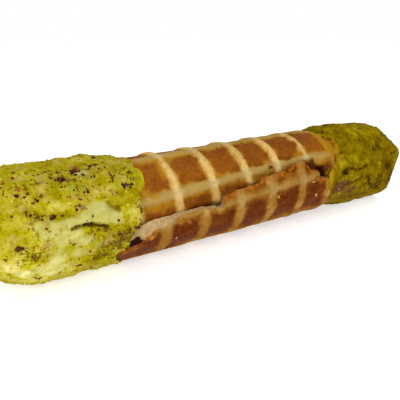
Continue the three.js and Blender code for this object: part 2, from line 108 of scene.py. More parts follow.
# The hole where the edge is broken away by the far end, and the split by the bevel, both darkened with
# painted shade
HOLE = {"x": 37.8, "turn": 526, "length": 2.0, "width": 10, "depth": 1.3}
SPLIT = {"end": -25.9, "opens": 0.9, "share": (0.45, 0.25), "narrows": (27.2, 31), "depth": 0.35}
# Where the batter puffed up: x, turn, how far it reaches in mm, how high
BLISTERS = [
    (-23.9, 193.5, 2.2, 0.65), (-14.8, 187.5, 1.1, 0.3), (-12.6, 189, 0.8, 0.25), (2.5, 186, 0.9, 0.2),
]
PITTING, WAVINESS = 0.05, 0.1  # mm of fine and of wide unevenness
CRUMBLING = 0.016  # share of the radius that the torn edge's unevenness comes to
RIB_WAVINESS, BLISTER_PITTING = 0.12, 1.3  # shares of a rib's and of a blister's height
# The grid of the sheet: rows along the roll, columns round it, finest where the sheet shows.
SHOWN = (-35, 50)
FINE_STEP, COVERED_STEP = 0.42, 2  # mm between rows
FLAP_COLUMNS, ROUND_COLUMNS, TUCKED_COLUMNS = 40, 138, 7
TUCKED_FROM = 540  # turn past which the columns are wider apart
WALL_STEPS = 24
# The gap's darkness right up to the edge is painted shade.
GAP_STARTS = 0.006  # just behind the edge, so that the gap is dark right up to it
# Where the iron browned the sheet unlike the rest: x, turn, length in mm, width in degrees, how the
# batter came out there, and how strongly.
UNEVENLY_BAKED = [
    (15, 161, 3, 10, "pale", 1.2), (-13, 518, 4.5, 6, "pale", 0.7), (-18.1, 184, 2.4, 6, "pale", 0.9),
    # The golden patch at x -14.3, turn 186 is a painted highlight near the top of the flap's first cell.
    (-14.3, 186, 3, 4, "golden", 0.6), (-21, 515, 3, 5, "golden", 0.8),
    (-23.9, 193.5, 2.8, 11, "golden", 1.0), (-29, 207, 6, 12, "golden", 1.0),
    (39.5, 505, 7, 6, "golden", 0.5), (31, 496, 5, 7, "golden", 0.5),
    (24.5, 497.5, 4.5, 7, "brown", 0.6), (-8.4, 527, 6, 7, "brown", 0.4), (4, 521, 8, 6, "brown", 0.25),
    (23, 153, 4, 7, "brown", 0.8), (31.4, 515, 3.4, 9, "brown", 1.0), (35, 520, 4, 9, "brown", 0.9),
    (17.5, 506, 1.6, 3, "brown", 0.8), (-1, 505, 3.5, 6, "golden", 0.5), (9, 503, 3, 5, "pale", 0.5),
    (-23.5, 502, 2.2, 12, "golden", 0.9), (-6, 182, 6, 5, "golden", 0.5),
    (33.5, 172, 2.5, 6, "golden", 0.8), (-15, 470, 4, 10, "golden", 0.5), (30, 478, 4, 8, "brown", 0.5),
    (50, 210, 6, 30, "golden", 0.5), (5, 380, 9, 24, "golden", 0.5), (-12, 320, 8, 22, "brown", 0.5),
    (22, 290, 9, 26, "golden", 0.5), (30, 400, 7, 18, "brown", 0.5),
    (44.2, 480, 3.2, 60, "golden", 1.3), (40.2, 200, 2.6, 50, "golden", 0.6),
    (-28, 498, 6, 5, "golden", 0.6), (-7, 503, 4, 5, "brown", 0.35), (14, 500, 2.5, 4, "brown", 0.4),
    (28, 497, 2, 4, "brown", 0.4), (22, 499.5, 2, 3, "pale", 0.5), (-19, 482, 7, 22, "golden", 0.35),
    (37, 478, 5, 12, "golden", 0.25),
]
# What each way does there, in mm: how much farther off the rib's pale and golden bands seem to be
STRAW_SHIFTS = {"brown": 2.2, "golden": 1.3, "pale": -1.4}
GOLDEN_SHIFTS = {"brown": 2.2, "golden": -1.5, "pale": -0.8}
BROWNING_SHIFTS = {"brown": 0.5, "golden": -0.45, "pale": 0}
# How browned it is from 0 to 1, on the flap, round the back and where it is tucked in
BROWNED = (0.95, 0.12, 0.37)
COVERED_RIB = 6  # a distance to the nearest rib that stands for places that show no grid

sheet_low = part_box("wafer_roll")[0]
ROLL_ORIGIN = np.array([sheet_low.x / MM - SHEET_LEAST[0], sheet_low.y / MM - SHEET_LEAST[1], AXIS_HEIGHT])


def smooth(value, start, end):
    """Rises smoothly from 0 at start to 1 at end."""
    share = np.clip((value - start) / (end - start), 0, 1)
    return share * share * (3 - 2 * share)


def band(value, start, full, fading, gone):
    """Rises smoothly to 1 from start to full, and falls to 0 from fading to gone."""
    return smooth(value, start, full) * (1 - smooth(value, fading, gone))


def round_roll(x, radius, turn):
    """Points, in mm from the roll's own origin, at a place along it, a radius and a turn."""
    around = np.radians(turn)
    return np.stack(np.broadcast_arrays(x, radius * np.cos(around), radius * np.sin(around)), axis=-1)


def unevenness(points, size, octaves=2, shift=0):
    """Fractal noise at points in mm, with lumps about size mm across, from about -1 to 1."""
    flat = points.reshape(-1, 3) / size + shift
    values = [noise.fractal(Vector(place), 1.0, 2.0, octaves) for place in flat.tolist()]
    return np.array(values).reshape(points.shape[:-1])


def covered(x):
    """0 where the sheet shows, 1 inside the coated ends."""
    return smooth(x, *FAR_COVER) + 1 - smooth(x, *NEAR_COVER)


def sheet_face(x, turn):
    """Radius of the sheet's outer face between its ribs."""
    settled, tucked_in = smooth(turn, *SETTLES), smooth(turn, *TUCKS_IN)

    def radius(radii):
        return radii[0] + (radii[1] - radii[0]) * settled + (radii[2] - radii[1]) * tucked_in

    shown = radius(FACE_RADII) + FLAP_FLARE * (1 - smooth(turn, *FLARES))
    return shown + (radius(COVERED_RADII) - shown) * covered(x)


def to_ribs(x, turn):
    """Distances in mm to the nearest ring, and past the nearest long rib, below 0 ahead of it."""
    ring = (x - RING_FIRST - RING_DRIFT * (turn - 180)) / RING_PITCH
    bend = LONG_RIB_BEND * smooth(x, *BENDS_ALONG) * smooth(turn, *BENDS_ROUND)
    long = (turn - LONG_RIB_FIRST - LONG_RIB_DRIFT * x - bend) / LONG_RIB_PITCH
    to_ring = np.abs(ring - np.round(ring)) * RING_PITCH
    past_long = (long - np.round(long)) * math.radians(LONG_RIB_PITCH) * FACE_RADII[1]
    return to_ring, past_long


def rib_profile(distance):
    """1 on the crest of a rib and 0 in a cell."""
    return 1 - smooth(distance, RIB_TOP / 2, RIB_FOOT / 2)


def rib_share(x, turn):
    to_ring, past_long = to_ribs(x, turn)
    return rib_profile(np.minimum(to_ring, np.abs(past_long)))


def loft(sections):
    """Faces that join closed rings of points, section to section; sections is rows x ring x 3."""
    rows, ring = sections.shape[:2]
    index = np.arange(rows * ring).reshape(rows, ring)
    after = np.roll(index, -1, axis=1)
    return np.stack([index[:-1], after[:-1], after[1:], index[1:]], axis=-1).reshape(-1, 4)


def new_piece(name, points, faces, smooth_shaded=True):
    """A mesh object from points in mm from the roll's origin."""
    mesh = bpy.data.meshes.new(name)
    mesh.from_pydata(((points.reshape(-1, 3) + ROLL_ORIGIN) * MM).tolist(), [], faces)
    mesh.polygons.foreach_set("use_smooth", [smooth_shaded] * len(mesh.polygons))
    mesh.update()
    made = bpy.data.objects.new(name, mesh)
    bpy.context.scene.collection.objects.link(made)
    return made


def keep(piece, name, values):
    """Keeps one number, or one colour, for each point of a piece, for its material to read."""
    flat = np.asarray(values, np.float32)
    is_colour = flat.ndim > 1
    kind, field = ("FLOAT_COLOR", "color") if is_colour else ("FLOAT", "value")
    piece.data.attributes.new(name, kind, "POINT").data.foreach_set(field, flat.ravel())


rows = np.concatenate([
    np.arange(SHEET_LINES[0], SHOWN[0], COVERED_STEP),
    np.arange(SHOWN[0], SHOWN[1], FINE_STEP),
    np.linspace(SHOWN[1], SHEET_LINES[1], 6),
])
join_share = np.linspace(0, 1, FLAP_COLUMNS, endpoint=False)
round_turns = np.concatenate([
    np.linspace(FLAP_JOIN, TUCKED_FROM, ROUND_COLUMNS, endpoint=False),
    np.linspace(TUCKED_FROM, TURNS[1], TUCKED_COLUMNS),
])

# The tear is ragged: it wanders by up to half a millimetre, most where the edge broke off.
brittle = LEAST_WANDER + (1 - LEAST_WANDER) * smooth(rows, *RAGGED_FROM)
wander = np.array([noise.fractal(Vector((row / TEAR_LUMPS, 3.1, 0)), 1.0, 2.0, 3) for row in rows])
torn_outer, torn_inner = (
    np.interp(rows, TORN_EDGE[:, 0], TORN_EDGE[:, side]) + TEAR_WANDER * brittle * wander for side in (1, 2)
)


def sheet_turns(tear):
    joining = tear[:, None] + (FLAP_JOIN - tear[:, None]) * join_share
    return np.concatenate([joining, np.tile(round_turns, (len(rows), 1))], axis=1)


outer_turn = sheet_turns(torn_outer)
inner_turn = sheet_turns(torn_inner)
outer_x = rows[:, None] + RING_DRIFT * (outer_turn - 180)
inner_x = rows[:, None] + RING_DRIFT * (inner_turn - 180)
from_edge = (outer_turn - torn_outer[:, None]) * math.radians(1) * FACE_RADII[0]
to_ring, past_long = to_ribs(outer_x, outer_turn)
to_long = np.abs(past_long)
at_rim = band(outer_x, *RIM_RIB["x"]) * (1 - smooth(outer_turn, *RIM_RIB["turns"]))
to_long += (from_edge - to_long) * at_rim
pressed = band(outer_turn, *PRESSED_RING["turns"]) * (1 - smooth(outer_x, *PRESSED_RING["x"]))
to_ring += PRESSED_RING["farther"] * pressed
crest = rib_profile(np.minimum(to_ring, to_long))


def hole_depth(x, turn):
    """How deep the sheet is broken away at a place, in mm."""
    along = np.abs(x - HOLE["x"]) / HOLE["length"]
    across = np.abs(turn - HOLE["turn"]) / HOLE["width"]
    return HOLE["depth"] * (1 - smooth(along, 0.6, 1.15)) * (1 - smooth(across, 0.6, 1.1))


def blistered(x, turn):
    """How far the batter is puffed up at a place, in mm."""
    total = np.zeros_like(x)
    for middle, at, reach, puffed_by in BLISTERS:
        across = np.hypot(x - middle, (turn - at) * math.radians(1) * FACE_RADII[0])
        total += puffed_by * (1 - smooth(across, 0.2 * reach, reach))
    return total


flat_outer = round_roll(outer_x, sheet_face(outer_x, outer_turn), outer_turn)
pitting = unevenness(flat_outer, 1.3, 2)
waviness = unevenness(flat_outer, 7, 2, 5)
shows = 1 - covered(outer_x)
puffed = blistered(outer_x, outer_turn) * (1 + BLISTER_PITTING * pitting)
height = RIB_HEIGHT * crest * (1 + RIB_WAVINESS * waviness) * shows * (1 - smooth(outer_turn, *RIBS_END))
height += PITTING * pitting + WAVINESS * waviness * shows + puffed - hole_depth(outer_x, outer_turn)
outer_face = round_roll(outer_x, sheet_face(outer_x, outer_turn) + height, outer_turn)
inner_radius = sheet_face(inner_x, inner_turn) - SHEET_THICKNESS - 0.4 * hole_depth(inner_x, inner_turn)
inner_face = round_roll(inner_x, inner_radius, inner_turn)

# The broken edge itself: a crumbly wall from the outer face to the inner one. By the near end it
# has split, and a gap darkened with painted shade runs under the outer skin.
wall_share = ((np.arange(WALL_STEPS) + 1) / (WALL_STEPS + 1))[None, :]
wall_share[:, 0] = GAP_STARTS
wall = outer_face[:, :1] + (inner_face[:, :1] - outer_face[:, :1]) * wall_share[..., None]
widest, left_end = SPLIT["share"]
split = widest + (left_end - widest) * smooth(-rows, *SPLIT["narrows"])
split = (split * np.clip((SPLIT["end"] - rows) / SPLIT["opens"], 0.01, 1))[:, None]
gap = (1 - smooth(wall_share / split, 0.6, 1.0)) * smooth(wall_share, 0.0, 0.05)
# Painted shade over the part of the wall that the gap undercuts.
gap_painted_shade = 1 - smooth(wall_share / split, 0.95, 1.25)
crumbling = CRUMBLING * unevenness(wall, 0.9, 3, 11)
wall[..., 1:] *= 1 + (crumbling - gap * (1 - wall_share) * SPLIT["depth"] / FACE_RADII[0])[..., None]


def sheet_sections(outer, inner, edge):
    """Joins grids row by row: half the edge, the outer face, the inner face and the rest of the edge."""
    half = WALL_STEPS // 2
    return np.concatenate([edge[:, :half][:, ::-1], outer, inner[:, ::-1], edge[:, half:][:, ::-1]], axis=1)


sections = sheet_sections(outer_face, inner_face, wall)
ring_size = sections.shape[1]
first = np.arange(ring_size // 2 - 1)
start_cap = np.stack([first + 1, first, ring_size - 1 - first, ring_size - 2 - first], axis=-1)
end_cap = start_cap[:, ::-1] + (len(rows) - 1) * ring_size
waffle = new_piece("rolled_waffle", sections, np.concatenate([loft(sections), start_cap, end_cap]).tolist())


def baked_as(kind):
    """How strongly each place of the outer face was baked in one of the ways."""
    total = np.zeros_like(outer_x)
    for middle, at, length, width, came_out, strength in UNEVENLY_BAKED:
        if came_out == kind:
            reach = np.hypot((outer_x - middle) / length, (outer_turn - at) / width)
            total = np.maximum(total, strength * (1 - smooth(reach, 0.3, 1)))
    return total


spots = {kind: baked_as(kind) for kind in STRAW_SHIFTS}
on_flap_side = outer_turn < 300
# Distances in mm, to where the ribs are pale and to where they are golden. The flap's long ribs are
# narrower, and those over the tucked edge have a broad golden side.
narrowed = 0.75 * (1 - smooth(outer_turn, 240, 300)) * (1 - at_rim)
from_straw = np.minimum(to_ring, to_long + narrowed)
from_straw += 0.35 * band(outer_turn, 196, 226, 300, 380) + 0.3 * smooth(outer_turn, 400, 440)
from_straw += sum(shift * spots[kind] for kind, shift in STRAW_SHIFTS.items())
leaning = np.where((past_long > 0) & (outer_turn > 480), 0.6, 1.0)
from_golden = np.minimum(to_ring, to_long * leaning)
from_golden += sum(shift * spots[kind] for kind, shift in GOLDEN_SHIFTS.items())

# Browned unevenly: darkest on the flap, less on the underside, least round the back.
browned = BROWNED[0] + (BROWNED[1] - BROWNED[0]) * smooth(outer_turn, 225, 330)
browned += (BROWNED[2] - BROWNED[1]) * smooth(outer_turn, 495, 530)
browned += 0.05 * smooth(outer_x, -22, 8) * smooth(outer_turn, 400, 440)
browned += sum(shift * spots[kind] for kind, shift in BROWNING_SHIFTS.items())
broke_off = smooth(rows, *TOASTED_FROM)[:, None]  # before this, the rim is bevelled and pale
scorched = (1 - smooth(from_edge, 1.1, 2.2)) * (1 - smooth(crest, 0.35, 0.8))
scorched *= smooth(outer_x, *TOASTED_FROM)
# Painted shade: the wrap darkens just above the flap's free edge, where the flap shades it, and in the
# broken hole.
under_flap = (torn_outer[:, None] + 360 - outer_turn) * math.radians(1) * FACE_RADII[1]
shaded = 0.75 * (1 - smooth(under_flap, 0, 1.3)) * (under_flap > -3)
painted_shade_inside = np.clip(np.maximum(hole_depth(outer_x, outer_turn), shaded), 0, 1)
long_rib = smooth(to_ring - to_long, -0.6, 0.8) * (1 - at_rim) * (1 - 0.5 * on_flap_side)
crossing = (1 - smooth(np.hypot(to_ring, to_long), 0.6, 2.4)) * (1 - 0.6 * on_flap_side)
for name, outer, inner, edge in [
    ("from_straw", from_straw, COVERED_RIB, COVERED_RIB),
    ("from_golden", from_golden, COVERED_RIB, COVERED_RIB),
    ("long_rib", long_rib, 0, 0),
    ("crossing", crossing, 0, 0),
    ("browned", browned, 0.3, 0.3),
    ("scorched", scorched, 0, 0.35 * broke_off),
    ("crumb", np.zeros_like(crest), 0.6, 0.95 - 0.8 * broke_off),
    ("depth", painted_shade_inside, 0, gap_painted_shade),
    ("puffed", np.clip(puffed / 0.35, 0, 1), 0, 0),
]:
    inner_grid, edge_grid = np.broadcast_to(inner, outer.shape), np.broadcast_to(edge, wall.shape[:2])
    keep(waffle, name, sheet_sections(outer, inner_grid, edge_grid).ravel())


def linear(colour):
    """An sRGB hex colour, such as '9d6022', as linear red, green, blue and alpha."""
    parts = [int(colour[i:i + 2], 16) / 255 for i in (0, 2, 4)]
    return [((part + 0.055) / 1.055) ** 2.4 if part > 0.04045 else part / 12.92 for part in parts] + [1.0]


def per(size):
    """Texture scale that gives a pattern of that size in mm."""
    return 1 / (size * MM)


def add(tree, kind, sockets=None, out=0, **settings):
    """Adds a node with its settings and a value, hex colour or link for each socket; gives an output."""
    made = tree.nodes.new(kind)
    for name, value in settings.items():
        setattr(made, name, value)
    for socket, given in (sockets or {}).items():
        if isinstance(given, bpy.types.NodeSocket):
            tree.links.new(given, made.inputs[socket])
        else:
            made.inputs[socket].default_value = linear(given) if isinstance(given, str) else given
    return made.outputs[out] if made.outputs else None


def weighed(tree, start, patterns):
    """A value plus patterns, each measured from its middle, 0.5, and times its own weight."""
    total = start
    for pattern, weight in patterns:
        swing = add(tree, "ShaderNodeMath", {0: pattern, 1: 0.5}, operation="SUBTRACT")
        total = add(tree, "ShaderNodeMath", {0: swing, 1: weight, 2: total}, operation="MULTIPLY_ADD")
    return total


MIX_A, MIX_B, MIX_COLOUR = 6, 7, 2  # colour sockets of a Mix node


def tinted(tree, colour, tint, pattern, start=0, full=1, least=0, most=1, within=1.0, blend="MIX"):
    """Lays a tint over a colour: least of it where the pattern is at start, most where it is at full."""
    rises = {"Value": pattern, "From Min": start, "From Max": full, "To Min": least, "To Max": most}
    share = add(tree, "ShaderNodeMapRange", rises)
    share = add(tree, "ShaderNodeMath", {0: share, 1: within}, operation="MULTIPLY")
    laid = {"Factor": share, MIX_A: colour, MIX_B: tint}
    return add(tree, "ShaderNodeMix", laid, MIX_COLOUR, data_type="RGBA", blend_type=blend)


def new_finish(name):
    """An empty material, its node tree, and the places on a piece that its patterns go by."""
    finish = bpy.data.materials.new(name)
    finish.use_nodes = True
    finish.node_tree.nodes.clear()
    return finish, finish.node_tree, add(finish.node_tree, "ShaderNodeTexCoord", out="Object")


# Baked batter: matt, pale straw on the ribs, which the iron's grooves spared, and caramel to chestnut
# in the cells, where sugar browned against the hot iron and left a greasy gloss with tiny pits.
BATTER_GRAINS = [(5, 3, 0.55), (1.7, 3, 0.55), (0.5, 2, 0.55), (0.9, 3, 0.7)]  # mm, detail, roughness
baked, tree, place = new_finish("baked_batter")
coarse_grain, middle_grain, fine_grain, pores = (
    add(tree, "ShaderNodeTexNoise", {
        "Vector": place, "Scale": per(size), "Detail": detail, "Roughness": rough,
    })
    for size, detail, rough in BATTER_GRAINS
)
kept = {
    name: add(tree, "ShaderNodeAttribute", out="Fac", attribute_name=name)
    for name in waffle.data.attributes.keys()
}
straw_reach = weighed(tree, kept["from_straw"], [(middle_grain, 1.4), (coarse_grain, 1.2)])
golden_reach = weighed(tree, kept["from_golden"], [(middle_grain, 2.4), (coarse_grain, 3.4)])
browning = weighed(tree, kept["browned"], [(coarse_grain, 1.2), (pores, 0.8)])
cell = tinted(tree, "8a4e12", "562304", browning)
cell = tinted(tree, cell, "703604", middle_grain, 0.48, 0.68, most=0.6)
# Pale specks in the cells: painted glints of the sugar's greasy gloss.
cell = tinted(tree, cell, "a87040", fine_grain, 0.56, 0.74, most=0.3)
golden = tinted(tree, "a07014", "7c4a10", browning)
straw = tinted(tree, "d0ac66", "885c1c", browning)
straw = tinted(tree, straw, "94783a", kept["long_rib"], most=0.75)
straw = tinted(tree, straw, "a4803e", pores, 0.5, 0.68, most=0.45)
straw = tinted(tree, straw, "c2b382", kept["crossing"], most=0.4)
colour = tinted(tree, cell, golden, golden_reach, 2.5, 1.0)
colour = tinted(tree, colour, straw, straw_reach, 2.1, 0.95)
colour = tinted(tree, colour, "9e5c14", middle_grain, 0.35, 0.6, within=kept["scorched"])
# On the blisters, mottled orange: partly the toasted batter's own colour, partly a painted highlight on
# their sheen.
toasted_and_highlit = tinted(tree, "7a3a0c", "bc7830", pores, 0.4, 0.6)
patchy = add(tree, "ShaderNodeMapRange", {
    "Value": middle_grain, "From Min": 0.35, "From Max": 0.6, "To Min": 0.35,
})
puffed_share = add(tree, "ShaderNodeMath", {0: kept["puffed"], 1: patchy}, operation="MULTIPLY")
colour = tinted(tree, colour, toasted_and_highlit, puffed_share)
speckled = tinted(tree, "a08054", "b89c6e", pores, 0.35, 0.6)
speckled = tinted(tree, speckled, "6e5230", fine_grain, 0.36, 0.28, most=0.55)
colour = tinted(tree, colour, speckled, kept["crumb"])
# Painted shade, near black, in the hole, in the split's gap and on the wrap along the flap's edge.
colour = tinted(tree, colour, "2c0e06", kept["depth"])
gloss = add(tree, "ShaderNodeMapRange", {
    "Value": straw_reach, "From Min": 2, "From Max": 0.7, "To Min": 0.45, "To Max": 0.68,
})
pits = add(tree, "ShaderNodeMath", {0: fine_grain, 1: 0.5, 2: middle_grain}, operation="MULTIPLY_ADD")
pocked = add(tree, "ShaderNodeMath", {0: puffed_share, 1: pores}, operation="MULTIPLY")
pits = add(tree, "ShaderNodeMath", {0: pocked, 1: 4.0, 2: pits}, operation="MULTIPLY_ADD")
relief = add(tree, "ShaderNodeBump", {"Strength": 0.5, "Distance": 0.25 * MM, "Height": pits})
shader = add(tree, "ShaderNodeBsdfPrincipled", {
    "Base Color": colour,
    "Roughness": gloss,
    "IOR": 1.45,
    "Specular IOR Level": 0.015,
    "Normal": relief,
})
add(tree, "ShaderNodeOutputMaterial", {"Surface": shader})
waffle.data.materials.append(baked)
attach(waffle, "root")
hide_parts("wafer_roll")

# ---- Pistachio cream ----
# Whipped cream with ground pistachio, piped through the tube and swelling over both of its ends,
# where it was pressed in ground nuts. It is soft and clings to the sheet.
NEAR_FACE, FAR_FACE = -61.4, 75.6
NEAR_RADIUS, FAR_RADIUS = 14.75, 14.25
NEAR_LIFT, LIFT_TURN = 0.7, 65  # the near end is fuller towards the top and back
NEAR_ROUNDING, NEAR_DROP = (9.5, 13.5), 7.8  # at the top and underneath
FAR_ROUNDING, FAR_DROP = 3.5, 0.9
FAR_TAPER = {"turn": 75, "start": 58, "slope": 0.09}
SHOULDERS = (6.8, 10.5)  # how far the coating thins towards its edge, on the front, and on top
LIP = 0.3  # how thick the coating is at its very edge, above the ribs
LUMP = 0.3
CORE_RADIUS = 10.55
CORE_RINGS = (-18, 34, 9)  # the first and the last x inside the tube, and how many
# A coating's edge turns down onto the sheet and in under itself: mm past the edge, mm into the sheet
EDGE_TUCK = [(0.25, 0.1), (-0.6, 0.5)]
TUCK_ENDS = 1.5  # mm in from the edge, where the core starts
FLAP_STEP = (145, 157)  # turns over which the roll's outside steps up onto the flap
# Flats struck on the far end: the turn that each faces, its radius at the end face, its slope
FACETS = [(95, 11.6, 0.35), (122, 11.2, 0.4), (193, 11.75, 0.5)]
FACET_BLEND = 0.18
LONG_SHOULDER = 9  # a shoulder longer than this eases in at both of its ends
FLAP_RIBS = 150  # turn past which the ribs are the flap's
COLUMNS = 256
CREAM_STEP = 0.4  # mm between rings
COAT_REACH = 15  # mm, about how far the coat's surface is from the roll's axis
EDGE_WANDER, BULGE = 0.7, 0.8  # mm by which a coating's edge wanders, and an end's face bulges
# How far each form stands out of a coat or sinks into it, in mm
NEAR_RELIEF = {
    "bits": 0.3, "grit": 0.14, "swells": 0.22, "smooth": 0.28, "pits": 0.12,
    "bare": 0.7, "streaks": 0.07, "crease": 0.9, "hollow": 0.3,
}
FAR_RELIEF = {"bits": 0.46, "grit": 0.16, "swells": 0.3, "crack": 0.55}
BETWEEN_BITS = 0.6  # of the height of a bump: the level that the paste stands at
# Where each end's coating stops on the sheet: turn, x
NEAR_EDGE = np.array([
    (0, -22.5), (40, -21.8), (75, -22.5), (103, -23.6), (124, -22.6), (138, -23), (150, -25),
    (163, -26.3), (179, -27), (184, -28.7), (190, -29.8), (195, -30.6), (203, -31.8), (212, -32.8),
    (225, -31.5), (242, -29), (275, -28), (320, -25),
])
FAR_EDGE = np.array([
    (0, 44.5), (45, 45), (94, 44.5), (106, 43.6), (118, 45), (126, 46.4), (135, 45.8), (149, 45),
    (157, 43.6), (161, 40.2), (168, 38.4), (180, 38.4), (189, 39), (197, 41), (211, 43.2), (242, 50),
    (285, 47), (330, 44),
])
# The smooth patch of bare cream on the near end, the crease under its lower edge, and the hollow by
# its right one: x, turn
BARE_PATCH = np.array([
    (-48.9, 159), (-45.9, 158), (-42.5, 158), (-40.2, 153.7), (-38.9, 149.5), (-37.2, 148.3),
    (-34.6, 149.7), (-34.1, 153.7), (-32.5, 160.3), (-31.3, 165.5), (-31, 172), (-33.1, 172.5),
    (-35.9, 168.8), (-38.9, 165.9), (-41.8, 166.3), (-44.1, 167.2), (-46.8, 166.4),
])
CREASE = np.array([
    (-43.4, 167.6), (-42.2, 167.2), (-40.8, 166.8), (-38.4, 167.5), (-36.4, 170.6), (-35, 174),
])
HOLLOW = np.array([(-34.1, 150.8), (-33.2, 155.2), (-32.2, 159.6)])
# Where the cream shows pale through a thin coat of nuts: x, turn, length in mm, width in degrees
THIN_COATS = [
    (-46.9, 195, 3.4, 15), (-48.4, 206, 5.5, 12), (-44.6, 174, 5, 11), (-48.2, 167, 4, 8),
    (-41.6, 181, 3.2, 8), (-42.4, 194, 2.6, 9), (-49.6, 161, 2.4, 6), (-54.6, 207, 3.4, 8),
    (-37.5, 117, 2.2, 5), (-54, 40, 5, 14), (-44, 330, 6, 16), (-50, 275, 5, 18), (62, 300, 6, 14),
    (56, 20, 5, 12),
]
# Where the paste is paler or darker than elsewhere: the same, and by how much
NEAR_TONE_PATCHES = [
    (-55, 205, 14, 50, 0.2), (-36, 205, 8, 26, -0.14), (-36, 188, 9, 12, -0.08),
    (-46, 146, 13, 24, -0.06), (-43, 132, 9, 14, -0.06), (-45.8, 146.6, 3.4, 8, 0.06),
    (-42, 95, 20, 14, 0.04),
]
FAR_TONE_PATCHES = [
    (62, 105, 18, 40, 0.2), (46, 150, 5, 30, 0.1), (66, 205, 14, 34, -0.14), (45.4, 160.2, 2.6, 7, 0.3),
    (57.3, 164.5, 3.6, 6, 0.3), (55.3, 127, 4, 12, 0.2), (53.9, 198.5, 3.6, 8, 0.2),
    (50.1, 185, 2.6, 5, 0.2), (46.5, 171.5, 3, 6, -0.4), (68.2, 177, 2.4, 8, -0.35),
    (58.4, 134, 5, 14, -0.14), (63.8, 152, 4, 12, -0.14),
]
# Where the coat is crumbly and full of pits, darkened with painted shade, or smooth and without them, below
# 0
PITTED = [
    (-53, 184, 5, 16, 1.2), (-50, 150, 4, 6, 0.9), (-37.5, 174, 5, 6, 1.2), (-42, 124, 3, 5, 0.8),
    (-34, 104, 5, 8, 0.7), (-52, 122, 5, 8, 0.5), (-31, 185, 4, 14, 1.5), (-34.5, 200, 6, 18, 1.0),
    (-41, 150.5, 3, 4, 0.8), (-44.5, 155, 3.5, 5, 0.8), (-40, 112, 9, 12, 0.5),
    (-45.8, 146.6, 3.4, 8, -1.5), (-28.3, 164, 2.6, 7, -1.2), (-54, 152, 3, 6, -1.2),
    (-30.6, 138, 3, 6, -1.2), (-41, 133, 2.2, 5, -1.0), (-57, 200, 4, 12, -0.8),
]
# Where the kernels were greener, and how strongly
GREENER = [
    (-40.9, 133, 3, 7, 0.9), (-30.6, 138, 3.4, 7, 0.7), (-36.5, 121, 2.4, 5, 0.6),
    (-50, 171, 3, 6, 0.5), (-44.5, 187, 3.4, 9, 0.6), (-38, 187, 3, 7, 0.5), (-53, 205, 3, 10, 0.4),
    (-33, 215, 4, 12, 0.5), (-46, 60, 6, 16, 0.5), (-40, 310, 6, 18, 0.5),
]
# Where crushed skins stained the coat brown, and how strongly
NEAR_STAINS = [
    (-38, 117, 17, 20, 0.22), (-33, 185, 6, 18, 0.16),
]
FAR_STAINS = [
    (44.5, 194, 5, 13, 1.4), (47.5, 188, 3.4, 7, 1.2), (50.5, 199, 4.5, 9, 1.2),
    (49.5, 212, 8, 10, 0.7), (55, 340, 4, 12, 0.6),
]
# Where the far end's coat cracked as it was pressed: x, turn
FAR_CRACKS = [
    np.array([(47.6, 190.5), (51.5, 187.9), (55, 186.3), (55.3, 182.5)]),
    np.array([(45.9, 174.1), (47.7, 168.7), (50.8, 169.6)]),
    np.array([(57.8, 185.5), (61, 201.1)]),
    np.array([(45.2, 147), (47.8, 144.7)]),
    np.array([(52, 172.8), (54.6, 172.2), (56.8, 170)]),
    np.array([(43.6, 113), (46.5, 120)]),
    np.array([(70.5, 161), (72.5, 159)]),
    np.array([(58, 52), (62, 60), (66, 61)]),
    np.array([(52, 318), (57, 326)]),
]


def lumps(x, turn):
    """Slow swells of the coating, in mm."""
    around = np.radians(turn)
    long = np.sin(0.62 * x + 2 * around + 1.3) + np.sin(0.37 * x - 3 * around)
    short = np.sin(0.91 * x + 5 * around + 0.7) + np.sin(1.13 * x - 4 * around + 2.1)
    return LUMP * (0.3 * long + 0.25 * short)


def edge_at_turn(turn, edge):
    return np.interp(turn, edge[:, 0], edge[:, 1], period=360)


def roll_radius(x, turn):
    """Radius of the rolled sheet's outermost face, ribs and all."""
    turn = turn % 360
    wrap, flap = turn + 360, np.maximum(turn, FLAP_STEP[1])
    over_flap = smooth(turn, *FLAP_STEP)
    radius = sheet_face(x, wrap) + (sheet_face(x, flap) - sheet_face(x, wrap)) * over_flap
    return radius + RIB_HEIGHT * rib_share(x, np.where(turn > FLAP_RIBS, turn, wrap)) * (1 - covered(x))


def shoulder(full, lip, distance, length):
    """Thins the coating from its full radius to its lip, over a length, and rounds it where it is thick."""
    share = np.clip(distance / length, 0, 1)
    eased = np.where(length > LONG_SHOULDER, smooth(share, 0, 1), np.sin(math.pi / 2 * share))
    return lip + (full - lip) * eased


def rounded(full, drop, past, length):
    """Rounds a radius off by drop, over a length towards an end's face."""
    return full - drop * (1 - np.sqrt(1 - np.clip(past / length, 0, 1) ** 2))


def near_coating(x, turn):
    up = np.cos(np.radians(turn - LIFT_TURN))
    rounding = NEAR_ROUNDING[1] + (NEAR_ROUNDING[0] - NEAR_ROUNDING[1]) * (0.5 + 0.5 * up)
    side = NEAR_RADIUS + NEAR_LIFT * up + lumps(x, turn)
    full = rounded(side, NEAR_DROP, NEAR_FACE + rounding - x, rounding)
    lip = roll_radius(x, turn) + LIP
    front = np.clip(-np.cos(np.radians(turn)), 0, 1) ** 2
    length = SHOULDERS[1] + (SHOULDERS[0] - SHOULDERS[1]) * front
    radius = shoulder(full, lip, edge_at_turn(turn, NEAR_EDGE) - x, length)
    return np.maximum(radius, np.where(x > SHEET_LINES[0] - 2, lip, 0))


